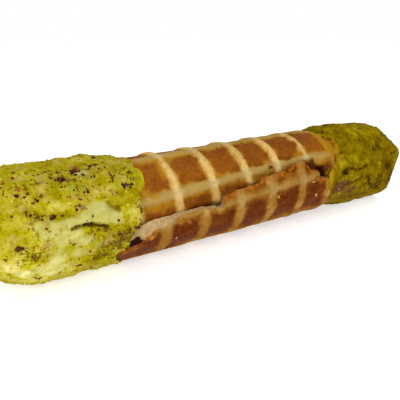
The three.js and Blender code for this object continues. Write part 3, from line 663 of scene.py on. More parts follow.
def far_coating(x, turn):
    taper = FAR_TAPER["slope"] * np.maximum(x - FAR_TAPER["start"], 0)
    side = FAR_RADIUS + lumps(x, turn) - taper * np.clip(np.cos(np.radians(turn - FAR_TAPER["turn"])), 0, 1)
    full = rounded(side, FAR_DROP, x - FAR_FACE + FAR_ROUNDING, FAR_ROUNDING)
    for facing, end_radius, slope in FACETS:
        across = np.maximum(np.cos(np.radians(turn - facing)), 0.3)
        struck = (end_radius + slope * (FAR_FACE - x)) / across
        full = -FACET_BLEND * np.logaddexp(-full / FACET_BLEND, -struck / FACET_BLEND)
    lip = roll_radius(x, turn) + LIP
    radius = shoulder(full, lip, x - edge_at_turn(turn, FAR_EDGE), SHOULDERS[0])
    return np.maximum(radius, np.where(x < SHEET_LINES[1] + 2, lip, 0))


def unrolled(x, turn):
    """A place on a coated end, laid out flat, in mm."""
    return np.stack(np.broadcast_arrays(x, np.radians(turn) * NEAR_RADIUS), axis=-1)


def to_line(places, line, closed=False):
    """Distance in mm from flat places to a line of points, and whether each is inside it."""
    ends = np.roll(line, -1, axis=0) if closed else line[1:]
    starts = line if closed else line[:-1]
    least = np.full(places.shape[:-1], 1e9)
    inside = np.zeros(places.shape[:-1], bool)
    for start, end in zip(starts, ends):
        along = end - start
        share = np.clip(((places - start) @ along) / (along @ along), 0, 1)
        least = np.minimum(least, np.linalg.norm(places - start - share[..., None] * along, axis=-1))
        crosses = (start[1] > places[..., 1]) != (end[1] > places[..., 1])
        rise = along[1] if along[1] else 1e-9
        inside ^= crosses & (places[..., 0] < start[0] + along[0] * (places[..., 1] - start[1]) / rise)
    return least, inside


def bare_cream(x, turn):
    """How far inside the smooth patch a place is, in mm, below 0 outside it."""
    distance, inside = to_line(unrolled(x, turn % 360), unrolled(BARE_PATCH[:, 0], BARE_PATCH[:, 1]), True)
    return np.where(inside, distance, -distance)


def within_patch(x, turn, patch):
    """Distance from the middle of an oval patch, which is 1 at its edge."""
    middle, at, length, width = patch[:4]
    aside = (turn - at + 180) % 360 - 180
    return np.hypot((x - middle) / length, aside / width)


def thin_coat(x, turn):
    """1 in the middle of a place where the coat of nuts is thin, 0 away from them all."""
    return np.clip(np.max([1 - within_patch(x, turn, patch) for patch in THIN_COATS], axis=0), 0, 1)


def toned(x, turn, patches):
    """The sum at a place of what each patch of a list gives it."""
    return sum(patch[4] * (1 - smooth(within_patch(x, turn, patch), 0.2, 1)) for patch in patches)


def groove(x, turn, line, width):
    """1 along the bottom of a groove, falling to 0 at its sides."""
    distance, _ = to_line(unrolled(x, turn % 360), unrolled(line[:, 0], line[:, 1]))
    return 1 - smooth(distance, 0.25 * width, width)


columns = np.arange(COLUMNS) * 360 / COLUMNS


def end_rings(face, edge_line, coating, sign, shift):
    """Rings of (x, turn, radius) from the middle of an end's face to its edge on the sheet."""
    sample = np.linspace(face, edge_at_turn(90.0, edge_line), 400)
    profile = coating(sample, np.full_like(sample, 200.0))
    arc = np.concatenate([[0], np.cumsum(np.hypot(np.diff(sample), np.diff(profile)))])
    steps = int(arc[-1] / CREAM_STEP)
    along = np.interp(np.linspace(0, arc[-1], steps), arc, (sample - face) / (sample[-1] - face))
    places = round_roll(0, COAT_REACH, columns)
    edge_at = edge_at_turn(columns, edge_line) + sign * EDGE_WANDER * unevenness(places, 3.2, 3, shift)
    x = face + (edge_at - face)[None, :] * along[:, None]
    turn = np.broadcast_to(columns, x.shape)
    radius = coating(x, turn)
    face_steps = int(profile[0] / CREAM_STEP)
    shares = np.linspace(0.02, 1, face_steps, endpoint=False)[:, None]
    face_radius = shares * radius[0]
    bulge = sign * BULGE * (1 - shares ** 2)
    return (
        np.concatenate([np.broadcast_to(face - bulge + sign * BULGE, face_radius.shape), x]),
        np.concatenate([np.broadcast_to(columns, face_radius.shape), turn]),
        np.concatenate([face_radius, radius]),
    )


def normals_of(points):
    """Outward normals of a grid of rings."""
    along = np.gradient(points, axis=0)
    around = np.roll(points, -1, axis=1) - np.roll(points, 1, axis=1)
    across = np.cross(around, along)
    return across / np.maximum(np.linalg.norm(across, axis=-1, keepdims=True), 1e-9)


def cells(points, size, shift=0):
    """Rounded bumps side by side, like crushed nuts pressed together, from 0 between them to 1."""
    flat = (points.reshape(-1, 3) / size + shift).tolist()
    nearest = [noise.voronoi(Vector(place))[0][0] for place in flat]
    return 1 - np.clip(np.array(nearest), 0, 1).reshape(points.shape[:-1])


near_x, near_turn, near_radius = end_rings(NEAR_FACE, NEAR_EDGE, near_coating, 1, 20)
near_base = round_roll(near_x, near_radius, near_turn)
inside_patch = bare_cream(near_x, near_turn)
on_patch = smooth(inside_patch + 0.5 * unevenness(near_base, 2.2, 2, 31), -0.35, 0.55)
thinness = smooth(thin_coat(near_x, near_turn) + 0.35 * unevenness(near_base, 2.4, 3, 41), 0.12, 0.62)
crease = groove(near_x, near_turn, CREASE, 0.6)
crease *= np.clip(0.8 + 1.1 * unevenness(near_base, 1.2, 2, 71), 0, 1)
hollow = groove(near_x, near_turn, HOLLOW, 0.8)
near_pits = toned(near_x, near_turn, PITTED)
bits, grit = cells(near_base, 2.3, 3) - BETWEEN_BITS, cells(near_base, 0.95, 7) - BETWEEN_BITS
near_height = NEAR_RELIEF["bits"] * bits + NEAR_RELIEF["grit"] * grit
near_height *= (1 - on_patch) * (1 - 0.65 * thinness)
near_height += NEAR_RELIEF["swells"] * unevenness(near_base, 4.5, 2, 51) * (1 - on_patch)
near_height += NEAR_RELIEF["smooth"] * np.clip(-near_pits, 0, 1.5)
near_height -= NEAR_RELIEF["pits"] * np.clip(near_pits, 0, 1.5)
near_height += NEAR_RELIEF["bare"] * smooth(inside_patch, 0, 2.2)
near_height += NEAR_RELIEF["streaks"] * unevenness(near_base * (0.35, 1, 1), 1.2, 2, 61) * on_patch
near_height -= NEAR_RELIEF["crease"] * crease + NEAR_RELIEF["hollow"] * hollow

far_x, far_turn, far_radius = end_rings(FAR_FACE, FAR_EDGE, far_coating, -1, 25)
far_base = round_roll(far_x, far_radius, far_turn)
far_thin = smooth(thin_coat(far_x, far_turn) + 0.35 * unevenness(far_base, 2.4, 3, 45), 0.15, 0.7)
far_crack = np.max([groove(far_x, far_turn, line, 0.75) for line in FAR_CRACKS], axis=0)
far_crack *= np.clip(0.8 + 0.9 * unevenness(far_base, 1.4, 2, 75), 0, 1)
bits, grit = cells(far_base, 3.4, 13) - BETWEEN_BITS, cells(far_base, 1.5, 17) - BETWEEN_BITS
far_height = FAR_RELIEF["bits"] * bits + FAR_RELIEF["grit"] * grit
far_height += FAR_RELIEF["swells"] * unevenness(far_base, 4.5, 3, 55) - FAR_RELIEF["crack"] * far_crack


def end_fade(count):
    """Keeps the last rings of a coating down on the sheet."""
    rings = np.arange(count)[:, None]
    return smooth(count - 1 - rings, 0, 6)


near_points = near_base + normals_of(near_base) * (near_height * end_fade(len(near_base)))[..., None]
far_points = far_base - normals_of(far_base) * (far_height * end_fade(len(far_base)))[..., None]


def tucked(edge, sign):
    """Rings that turn a coating's edge down onto the sheet and in to the core; sign points past it."""
    rings = [
        round_roll(edge + sign * past, roll_radius(edge + sign * past, columns) - inset, columns)
        for past, inset in EDGE_TUCK
    ]
    return np.stack([*rings, round_roll(edge - sign * TUCK_ENDS, CORE_RADIUS, columns)])


sections = np.concatenate([
    near_points,
    tucked(near_x[-1], 1),
    round_roll(np.linspace(*CORE_RINGS)[:, None], CORE_RADIUS, columns),
    tucked(far_x[-1], -1)[::-1],
    far_points[::-1],
])
sections[..., 2] = np.maximum(sections[..., 2], -AXIS_HEIGHT)
face_middles = np.array([(NEAR_FACE, 0, 0), (FAR_FACE, 0, 0)])
on_rings = sections.shape[0] * COLUMNS
last_ring = on_rings - COLUMNS
cream_faces = loft(sections)[:, ::-1].tolist()
for j in range(COLUMNS):
    after = (j + 1) % COLUMNS
    cream_faces += [(j, after, on_rings), (last_ring + after, last_ring + j, on_rings + 1)]
cream_points = np.concatenate([sections.reshape(-1, 3), face_middles])
cream = new_piece("pistachio_cream_ends", cream_points, cream_faces)


def cream_values(near, far, other):
    """One value for each point of the cream, from the grids of its two ends and one for between."""
    rings_between = sections.shape[0] - len(near_points) - len(far_points)
    between = np.full((rings_between, COLUMNS), other)
    values = np.concatenate([near, between, far[::-1]]).reshape(-1)
    return np.concatenate([values, [near[0, 0], far[0, 0]]])


# The tone follows the relief: painted shade darkens the paste where it lies low, between the nuts and in
# the crease and cracks.
near_tone_and_shade = toned(near_x, near_turn, NEAR_TONE_PATCHES) + 0.4 * near_height * (1 - on_patch)
far_tone_and_shade = toned(far_x, far_turn, FAR_TONE_PATCHES) + 0.6 * far_height
far_tone_and_shade += 0.22 * unevenness(far_base, 2.4, 2, 81)
past_edge = far_x - edge_at_turn(far_turn, FAR_EDGE)
far_toasted = (1 - smooth(past_edge, 0.6, 3.6)) * band(far_turn, 95, 135, 172, 196)
none_near, none_far = np.zeros_like(near_x), np.zeros_like(far_x)
for name, near, far, other in [
    ("bare", np.maximum(on_patch, 0.92 * thinness), 0.25 * far_thin, 0.0),
    ("tone", near_tone_and_shade, far_tone_and_shade, 0.0),
    # Painted shade: dark in the crease under the bare patch, in the hollow beside it and in the far end's
    # cracks.
    ("dark", np.clip(1.5 * crease + 0.4 * hollow, 0, 1), 0.65 * far_crack, 0.0),
    ("stained", toned(near_x, near_turn, NEAR_STAINS), toned(far_x, far_turn, FAR_STAINS), 0.0),
    ("green", toned(near_x, near_turn, GREENER), none_far, 0.0),
    ("toasted", none_near, far_toasted, 0.0),
    ("pits", near_pits, none_far, 0.0),
    ("far", none_near, np.ones_like(far_x), 0.5),
]:
    keep(cream, name, cream_values(near, far, other))

# Ground pistachio worked into cream: dull and a little moist, from olive through mustard yellow to
# the pale lime of the cream itself, and at the far end darker all over. Down between the nuts it
# is darkened with painted shade.
NEAR_TONES = ["544200", "725e02", "907d06", "a09010", "ae9f26", "bdb048", "ccc06a", "ded586"]
FAR_TONES = ["382806", "543f05", "695203", "765f03", "826c03", "8d7804", "97840a", "a59315"]
PASTE_LUMPS = [(6, 2), (2.2, 2), (0.95, 2), (0.42, 1), (3.6, 2), (2.6, 2), (0.85, 2), (3, 1)]  # mm, detail


def paste_colour(tree, place):
    """The colour of the paste: its tone in patches and grit, yellower or beige in places, and darkened with
    painted shade in its pits.
    """
    lump = {
        size: add(tree, "ShaderNodeTexNoise", {
            "Vector": place, "Scale": per(size), "Detail": detail, "Roughness": 0.55,
        })
        for size, detail in PASTE_LUMPS
    }
    kept = {
        name: add(tree, "ShaderNodeAttribute", out="Fac", attribute_name=name)
        for name in ("tone", "far", "pits")
    }
    mottling = [(lump[6], 0.5), (lump[2.2], 0.6), (lump[0.95], 0.5), (lump[0.42], 0.3)]
    tone = weighed(tree, kept["tone"], mottling)
    tone = add(tree, "ShaderNodeMath", {0: tone, 1: 0.5}, operation="ADD")
    made = []
    for tones in (NEAR_TONES, FAR_TONES):
        ramp = add(tree, "ShaderNodeValToRGB", {"Fac": tone})
        stops = ramp.node.color_ramp.elements
        for n in range(2, len(tones)):
            stops.new(n / (len(tones) - 1))
        for n, shade in enumerate(tones):
            stops[n].position = n / (len(tones) - 1)
            stops[n].color = linear(shade)
        made.append(ramp)
    colour = tinted(tree, made[0], made[1], kept["far"])
    mid_toned = add(tree, "ShaderNodeMapRange", {
        "Value": tone, "From Min": 0.6, "From Max": 0.85, "To Min": 1, "To Max": 0.1,
    })
    yellower = {"most": 0.9, "within": mid_toned, "blend": "MULTIPLY"}
    colour = tinted(tree, colour, "f4fa60", lump[3.6], 0.42, 0.6, **yellower)
    on_near = add(tree, "ShaderNodeMath", {0: 1.0, 1: kept["far"]}, operation="SUBTRACT")
    colour = tinted(tree, colour, "bea468", lump[2.6], 0.54, 0.72, most=0.42, within=on_near)
    # Painted shade: dark olive specks clustered where the coat is pitted.
    pits = add(tree, "ShaderNodeMath", {0: kept["pits"], 1: 0.14}, operation="MULTIPLY")
    clustered = weighed(tree, pits, [(lump[0.85], 1.3), (lump[3], 0.5)])
    return tinted(tree, colour, "564204", clustered, 0.1, 0.27, most=0.8)


nut_paste, tree, place = new_finish("ground_pistachio_paste")
lumpy, gritty = (
    add(tree, "ShaderNodeTexNoise", {
        "Vector": place, "Scale": per(size), "Detail": detail, "Roughness": 0.55,
    })
    for size, detail in ((1.8, 3), (0.6, 2))
)
kept = {
    name: add(tree, "ShaderNodeAttribute", out="Fac", attribute_name=name)
    for name in cream.data.attributes.keys()
}
colour = paste_colour(tree, place)
colour = tinted(tree, colour, "8a921a", lumpy, 0.35, 0.6, least=0.2, within=kept["green"])
creamy = tinted(tree, "a29d4e", "dfd78e", kept["tone"], -0.1, 0.2)
creamy = tinted(tree, creamy, "a09a3c", lumpy, 0.4, 0.62, most=0.65)
colour = tinted(tree, colour, creamy, kept["bare"])
colour = tinted(tree, colour, "ac7a14", lumpy, 0.4, 0.6, least=0.05, most=0.9, within=kept["toasted"])
colour = tinted(tree, colour, "5e3820", lumpy, 0.28, 0.55, least=0.35, within=kept["stained"])
# Painted shade in the crease, the hollow and the cracks.
colour = tinted(tree, colour, "3a2806", kept["dark"])
bumps = add(tree, "ShaderNodeMath", {0: lumpy, 1: 1.5, 2: gritty}, operation="MULTIPLY_ADD")
bump_strength, roughness = (
    add(tree, "ShaderNodeMapRange", {"Value": kept["bare"], "To Min": coated, "To Max": uncoated})
    for coated, uncoated in ((0.6, 0.12), (0.78, 0.5))
)
relief = add(tree, "ShaderNodeBump", {"Distance": 0.35 * MM, "Strength": bump_strength, "Height": bumps})
shader = add(tree, "ShaderNodeBsdfPrincipled", {
    "Base Color": colour,
    "Roughness": roughness,
    "IOR": 1.42,
    "Specular IOR Level": 0.01,
    "Normal": relief,
})
add(tree, "ShaderNodeOutputMaterial", {"Surface": shader})
cream.data.materials.append(nut_paste)
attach(cream, "root")
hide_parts("pistachio_cream")

# ---- Crushed nuts ----
# Green pistachio kernels, crushed to bits of a third of a millimetre to one and a third, angular
# where they broke, that stick out of the coat all over both ends.
SEED = 7
NEAR_NUTS, FAR_NUTS = 5200, 3600
NEAR_NUT_HALF, FAR_NUT_HALF = (0.18, 0.65), (0.18, 0.5)  # half lengths in mm
NUT_SINK = (0.4, 0.9)  # how much of its half length each bit is sunk by
OWN_TONE = 0.13  # how much paler or darker than the paste a bit tends to be
KNOCKED = 0.28  # how far a corner may be knocked in or out, as a share of its reach
BIT_WIDTHS, BIT_DEPTHS = (0.6, 0.95), (0.45, 0.8)  # shares of a bit's length
MOSTLY_FINE = 2.2  # the higher above 1, the more of the bits are small
ICO = (1 + 5 ** 0.5) / 2
random = np.random.default_rng(SEED)
ico_points = np.array([
    (-1, ICO, 0), (1, ICO, 0), (-1, -ICO, 0), (1, -ICO, 0), (0, -1, ICO), (0, 1, ICO),
    (0, -1, -ICO), (0, 1, -ICO), (ICO, 0, -1), (ICO, 0, 1), (-ICO, 0, -1), (-ICO, 0, 1),
]) / math.hypot(1, ICO)
ico_faces = np.array([
    (0, 11, 5), (0, 5, 1), (0, 1, 7), (0, 7, 10), (0, 10, 11), (1, 5, 9), (5, 11, 4), (11, 10, 2),
    (10, 7, 6), (7, 1, 8), (3, 9, 4), (3, 4, 2), (3, 2, 6), (3, 6, 8), (3, 8, 9), (4, 9, 5),
    (2, 4, 11), (6, 2, 10), (8, 6, 7), (9, 8, 1),
])


def random_turns(count):
    """Rotation matrices, one for each piece, from random quaternions."""
    quaternions = random.normal(size=(count, 4))
    a, b, c, d = (quaternions / np.linalg.norm(quaternions, axis=1, keepdims=True)).T
    return np.stack([
        1 - 2 * (c * c + d * d), 2 * (b * c - d * a), 2 * (b * d + c * a),
        2 * (b * c + d * a), 1 - 2 * (b * b + d * d), 2 * (c * d - b * a),
        2 * (b * d - c * a), 2 * (c * d + b * a), 1 - 2 * (b * b + c * c),
    ], axis=-1).reshape(count, 3, 3)


def broken_bits(centres, halves):
    """Angular lumps, one at each centre, as points (count x 12 x 3) that share the same faces."""
    count = len(centres)
    knocked = ico_points * (1 + KNOCKED * random.uniform(-1, 1, (count, 12, 1)))
    width, depth = random.uniform(*BIT_WIDTHS, count), random.uniform(*BIT_DEPTHS, count)
    scale = np.stack([np.ones(count), width, depth], axis=-1)
    shaped = knocked * (scale * halves[:, None])[:, None, :]
    bits = np.einsum("nij,nkj->nki", random_turns(count), shaped) + centres[:, None, :]
    bits[..., 2] = np.maximum(bits[..., 2], -AXIS_HEIGHT)
    return bits


def joined(name, bits, faces, tints=None):
    """Joins many bits with the same faces into one piece, and may keep a colour for each bit."""
    count, size = bits.shape[:2]
    all_faces = (faces[None] + (np.arange(count) * size)[:, None, None]).reshape(-1, faces.shape[1])
    piece = new_piece(name, bits, all_faces.tolist(), smooth_shaded=False)
    if tints is not None:
        keep(piece, "tint", np.repeat(tints, size, axis=0))
    return piece


def on_grid(points, normals, count):
    """Random places on a grid of rings, spread by area, with their normals."""
    size_along = np.linalg.norm(np.diff(points, axis=0), axis=-1)
    around = np.linalg.norm(points - np.roll(points, -1, axis=1), axis=-1)[:-1]
    area = (size_along * around).ravel()
    chosen = random.choice(area.size, count, p=area / area.sum())
    i, j = np.unravel_index(chosen, size_along.shape)
    share = random.uniform(size=(count, 1))
    place = points[i, j] * (1 - share) + points[i + 1, j] * share
    return place, normals[i, j], i, j


def crushed(name, points, normals, count, tones, pits, far, thinned, halves):
    """Bits of nut in a coat, each a little paler or darker than the paste that it lies in."""
    place, normal, i, j = on_grid(points, normals, count)
    stays = random.uniform(size=count) > thinned[i, j]
    place, normal, i, j = place[stays], normal[stays], i[stays], j[stays]
    half = halves[0] + (halves[1] - halves[0]) * random.uniform(size=len(place)) ** MOSTLY_FINE
    sink = random.uniform(*NUT_SINK, len(place)) * half
    bits = broken_bits(place - normal * sink[:, None], half)
    piece = joined(name, bits, ico_faces)
    own_tone = tones[i, j] + OWN_TONE * random.normal(size=len(place))
    for kind, values in (("tone", own_tone), ("pits", pits[i, j]), ("far", np.full(len(place), far))):
        keep(piece, kind, np.repeat(values, bits.shape[1]))
    return piece


near_normals = normals_of(near_points)
far_normals = -normals_of(far_points)
near_thinned = np.clip(on_patch + 0.8 * thinness + 0.9 * crease, 0, 1)
near_nuts = crushed(
    "crushed_nuts_near", near_points, near_normals, NEAR_NUTS, near_tone_and_shade, near_pits, 0, near_thinned,
    NEAR_NUT_HALF,
)
far_nuts = crushed(
    "crushed_nuts_far", far_points, far_normals, FAR_NUTS, far_tone_and_shade, none_far, 1, 0.5 * far_thin,
    FAR_NUT_HALF,
)

# Broken kernel: waxy and dull, each bit its own green or yellow, mottled within.
kernel, tree, place = new_finish("broken_kernel")
shader = add(tree, "ShaderNodeBsdfPrincipled", {
    "Base Color": paste_colour(tree, place),
    "Roughness": 0.7,
    "IOR": 1.46,
    "Specular IOR Level": 0.01,
})
add(tree, "ShaderNodeOutputMaterial", {"Surface": shader})
for piece in (near_nuts, far_nuts):
    piece.data.materials.append(kernel)
    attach(piece, "root")

# ---- Skins ----
# Papery wine-brown skins rubbed off the kernels: thin crooked flakes that lie flat in the coat,
# alone or a few together.
SKIN_CLUSTERS = [  # x, turn, spread in mm, how many, half length in mm
    (-44.7, 119, 0.7, 5, 0.8), (-43.2, 122, 0.6, 5, 0.9), (-35.3, 109.5, 0.7, 5, 0.8),
    (-33.8, 109, 0.4, 2, 0.7), (-40, 112.5, 0.5, 3, 0.7), (-39, 115, 0.6, 4, 0.8),
    (-37.5, 121, 0.4, 2, 0.6), (-33, 96.5, 0.7, 4, 0.8), (-31.8, 115, 0.3, 2, 0.5),
    (-33.5, 116, 0.3, 2, 0.4), (-28.8, 138.5, 0.6, 5, 0.9), (-27.3, 139, 0.5, 4, 0.8),
    (-26.4, 124, 0.5, 4, 0.7), (-25.4, 122.5, 0.4, 3, 0.7), (-26.1, 133, 0.3, 2, 0.6),
    (-31.7, 130, 0.5, 4, 0.6), (-30.8, 126, 0.4, 2, 0.5), (-28.6, 125, 0.3, 2, 0.5),
    (-35.7, 123, 0.4, 2, 0.5), (-38.4, 138, 0.6, 4, 0.6), (-40.8, 136, 0.4, 2, 0.5),
    (-43, 130.5, 0.4, 2, 0.6), (-43.4, 112, 0.5, 2, 0.5), (-45.8, 110, 0.4, 2, 0.5),
    (-53.1, 129.5, 0.4, 3, 0.7), (-51.4, 131, 0.3, 2, 0.6), (-48.9, 137, 0.7, 3, 0.5),
    (-52.2, 147, 0.9, 5, 0.5), (-55.2, 146, 0.4, 2, 0.5), (-50.5, 152, 0.4, 2, 0.5),
    (-49.2, 155, 0.3, 2, 0.6), (-47.5, 154, 0.4, 3, 0.9), (-44.6, 154, 0.5, 3, 0.6),
    (-41, 149, 0.5, 3, 0.5), (-54.5, 177.5, 0.7, 6, 0.9), (-55.5, 193, 0.3, 2, 0.4),
    (-38.5, 205, 0.3, 2, 0.5), (-41.8, 210, 0.7, 4, 0.6), (-51.4, 216, 0.6, 3, 0.5),
    (-38.5, 227, 0.5, 2, 0.5), (-32.4, 199, 0.3, 2, 0.5), (-32.2, 182, 0.8, 6, 0.5),
    (-30, 180, 0.7, 4, 0.5), (-27.3, 159, 0.3, 2, 0.5), (-26.3, 165, 0.6, 4, 0.5),
    (-27.4, 179, 0.5, 4, 0.6), (-29.8, 181, 0.6, 4, 0.5), (-40, 166, 1.8, 9, 0.4),
    (-36, 173, 0.9, 6, 0.4), (46.7, 171, 0.7, 5, 0.6), (50.6, 169, 0.3, 2, 0.5),
    (68.3, 176, 0.6, 3, 0.5), (46.8, 101, 0.5, 3, 0.5), (59.2, 192, 0.4, 2, 0.5),
    (63.1, 186, 0.4, 2, 0.5), (-52.8, 184, 2.8, 18, 0.26), (-30.5, 184, 2.4, 14, 0.26),
    (-34, 198, 2.8, 16, 0.26), (-50, 150, 1.8, 8, 0.26), (-41, 113, 3.4, 10, 0.26),
]
HIDDEN_SKINS = (110, 30)  # scattered over the rest of the near end and of the far end
HIDDEN_SKIN_HALF = (0.16, 0.4)  # their least half length, and up to how much more
SKIN_TINTS = ["34181a", "46241e", "563026", "2c1610", "5e3c1a", "4c3010"]
SKIN_THICKNESS = 0.14
SKIN_ABOVE = 0.04  # mm above the coat
OUTLINE = 7  # corners of a flake
CORNER_SHIFT = (-0.3, 0.3)  # shares of the angle between two corners
FLAKE_REACHES, FLAKE_WIDTHS = (0.55, 1.1), (0.35, 0.8)  # shares of the half length
FLAKE_CURLS = (-0.25, 0.35)  # how far the tips rise, as a share of the half length
FLAKE_TILT = 0.2  # how far flakes lean from the coat

flake_faces = []
for k in range(OUTLINE):
    top, next_top = 2 + k, 2 + (k + 1) % OUTLINE
    under, next_under = top + OUTLINE, next_top + OUTLINE
    flake_faces += [(0, top, next_top), (1, next_under, under)]
    flake_faces += [(top, under, next_under), (top, next_under, next_top)]
flake_faces = np.array(flake_faces)


def flakes(centres, normals, halves, thickness):
    """Thin crooked plates lying along a surface, as points (count x 16 x 3)."""
    count = len(centres)
    corners = np.arange(OUTLINE) + random.uniform(*CORNER_SHIFT, (count, OUTLINE))
    angles = corners * 2 * math.pi / OUTLINE
    reach = random.uniform(*FLAKE_REACHES, (count, OUTLINE))
    narrow = random.uniform(*FLAKE_WIDTHS, (count, 1))
    curl = random.uniform(*FLAKE_CURLS, (count, 1))
    flat_x, flat_y = reach * np.cos(angles), reach * np.sin(angles) * narrow
    rim = np.stack([flat_x, flat_y, curl * flat_x ** 2], axis=-1) * halves[:, None, None]
    plate = np.concatenate([np.zeros((count, 2, 3)), rim, rim], axis=1)
    plate[..., 2] += thickness * np.array([1.1, -1.1] + [0.5] * OUTLINE + [-0.5] * OUTLINE)
    normal = normals + FLAKE_TILT * random.normal(size=(count, 3))
    normal /= np.linalg.norm(normal, axis=1, keepdims=True)
    side = np.cross(normal, random.normal(size=(count, 3)))
    side /= np.linalg.norm(side, axis=1, keepdims=True)
    axes = np.stack([side, np.cross(normal, side), normal], axis=1)
    laid = np.einsum("nkj,nji->nki", plate, axes) + centres[:, None, :]
    laid[..., 2] = np.maximum(laid[..., 2], -AXIS_HEIGHT)
    return laid


def nearest_on(points, normals, x, turn):
    """The grid's own point, and its normal, nearest to each place given by x and turn."""
    target = round_roll(x, COAT_REACH, turn)
    radial = points[::2, ::2].copy()
    reach = np.hypot(radial[..., 1], radial[..., 2])
    radial[..., 1:] *= (COAT_REACH / np.maximum(reach, 1e-6))[..., None]
    flat = radial.reshape(-1, 3)
    found = np.array([np.argmin(((flat - place) ** 2).sum(axis=1)) for place in target])
    return points[::2, ::2].reshape(-1, 3)[found], normals[::2, ::2].reshape(-1, 3)[found]


def in_coats(x, turn, scattered):
    """Places in the coats, with their normals: the given ones, near end first, then scattered ones."""
    near = x < 0
    found = [
        nearest_on(near_points, near_normals, x[near], turn[near]),
        nearest_on(far_points, far_normals, x[~near], turn[~near]),
        on_grid(near_points, near_normals, scattered[0])[:2],
        on_grid(far_points, far_normals, scattered[1])[:2],
    ]
    return [np.concatenate(part) for part in zip(*found)]


skin_x, skin_turn, skin_half = [], [], []
for x, turn, spread, many, half_length in SKIN_CLUSTERS:
    skin_x += list(x + 0.5 * spread * random.normal(size=many))
    skin_turn += list(turn + 0.35 * spread * random.normal(size=many) * 180 / math.pi / NEAR_RADIUS)
    skin_half += list(half_length * random.uniform(0.55, 1.1, many))
skin_x, skin_turn, skin_half = np.array(skin_x), np.array(skin_turn), np.array(skin_half)
near_first = np.argsort(skin_x > 0, kind="stable")
centres, normals = in_coats(skin_x, skin_turn, HIDDEN_SKINS)
least, more = HIDDEN_SKIN_HALF
small = least + more * random.uniform(size=sum(HIDDEN_SKINS)) ** 2
halves = np.concatenate([skin_half[near_first], small])
skin_bits = flakes(centres + normals * SKIN_ABOVE, normals, halves, SKIN_THICKNESS)
skin_palette = np.array([linear(tint) for tint in SKIN_TINTS])
skin_tints = skin_palette[random.integers(len(SKIN_TINTS), size=len(centres))]
skins = joined("nut_skins", skin_bits, flake_faces, skin_tints)

# Pistachio skin: thin and dry, from wine-brown to nearly black, and browner where it is rubbed.
skin, tree, place = new_finish("pistachio_skin")
wrinkles = add(tree, "ShaderNodeTexNoise", {
    "Vector": place, "Scale": per(0.4), "Detail": 2, "Roughness": 0.55,
})
tint = add(tree, "ShaderNodeAttribute", attribute_name="tint")
shader = add(tree, "ShaderNodeBsdfPrincipled", {
    "Base Color": tinted(tree, tint, "5c3a18", wrinkles, 0.5, 0.75, most=0.4),
    "Roughness": 0.6,
    "IOR": 1.45,
    "Specular IOR Level": 0.01,
})
add(tree, "ShaderNodeOutputMaterial", {"Surface": shader})
skins.data.materials.append(skin)
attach(skins, "root")

# ---- Chips of wafer and toasted nut ----
# A few tan and rust-red chips, bits of toasted kernel and of broken wafer, pressed in with the nuts.
# The ones named here lie on the front, and the others are scattered over both ends.
CHIPS = [  # x, turn, half length in mm, colour; the near end's first
    (-38.1, 110.5, 1.1, "8a4a22"), (-32, 142.5, 1.5, "a8843c"), (-31.2, 145, 1.0, "8a5a1e"),
    (-33, 141, 0.8, "94682a"), (-48.9, 178, 1.2, "b0944a"), (-50, 180, 0.7, "966428"),
    (-40.5, 152, 1.0, "8d6f48"), (-55.5, 125, 0.7, "7d3f1a"), (-55, 112, 0.8, "8a4a1c"),
    (-52.2, 125, 1.0, "9a5a20"), (-40.6, 144, 0.8, "6d2a1a"), (-49, 164, 0.7, "5c1c14"),
    (-58.1, 189, 0.7, "744018"), (-43.4, 183, 0.65, "4d1012"), (-32.5, 169, 0.7, "4a0c16"),
    (-39.6, 193, 0.8, "7a3c14"), (-49.4, 188, 0.8, "8a5a24"), (-40.2, 131, 0.9, "8a5018"),
    (43.5, 190, 1.0, "6b4a30"), (45.2, 188, 1.1, "5c3c30"), (46.5, 185, 0.8, "7a5a38"),
    (44.4, 193, 0.9, "9a7c58"), (43.4, 113, 0.8, "5a3a10"), (44.8, 118, 0.8, "5c3a0c"),
    (46.5, 121, 0.8, "6a4410"),
]
OTHER_CHIPS = (34, 5)
OTHER_CHIP_HALF = (0.3, 0.7)
OTHER_CHIP_TINTS = ["8e5e14", "a2803a", "744014"]
CHIP_THICKNESS = 0.3
CHIP_SHRINK = 0.8
chip_x, chip_turn, chip_half, chip_colours = zip(*CHIPS)
centres, normals = in_coats(np.array(chip_x), np.array(chip_turn), OTHER_CHIPS)
halves = np.concatenate([chip_half, random.uniform(*OTHER_CHIP_HALF, sum(OTHER_CHIPS))])
other_colours = [OTHER_CHIP_TINTS[n] for n in random.integers(3, size=sum(OTHER_CHIPS))]
chip_bits = flakes(centres, normals, CHIP_SHRINK * halves, CHIP_THICKNESS)
chip_tints = np.array([linear(shade) for shade in [*chip_colours, *other_colours]])
chips = joined("toasted_chips", chip_bits, flake_faces, chip_tints)

# Toasted chips: dry and matt, tan where they broke and rust-red where they browned.
toasted, tree, place = new_finish("toasted_chip")
crumbly = add(tree, "ShaderNodeTexNoise", {
    "Vector": place, "Scale": per(0.6), "Detail": 2, "Roughness": 0.55,
})
tint = add(tree, "ShaderNodeAttribute", attribute_name="tint")
shader = add(tree, "ShaderNodeBsdfPrincipled", {
    "Base Color": tinted(tree, tint, "a88430", crumbly, 0.5, 0.75, most=0.35),
    "Roughness": 0.65,
    "IOR": 1.45,
    "Specular IOR Level": 0.01,
})
add(tree, "ShaderNodeOutputMaterial", {"Surface": shader})
chips.data.materials.append(toasted)
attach(chips, "root")

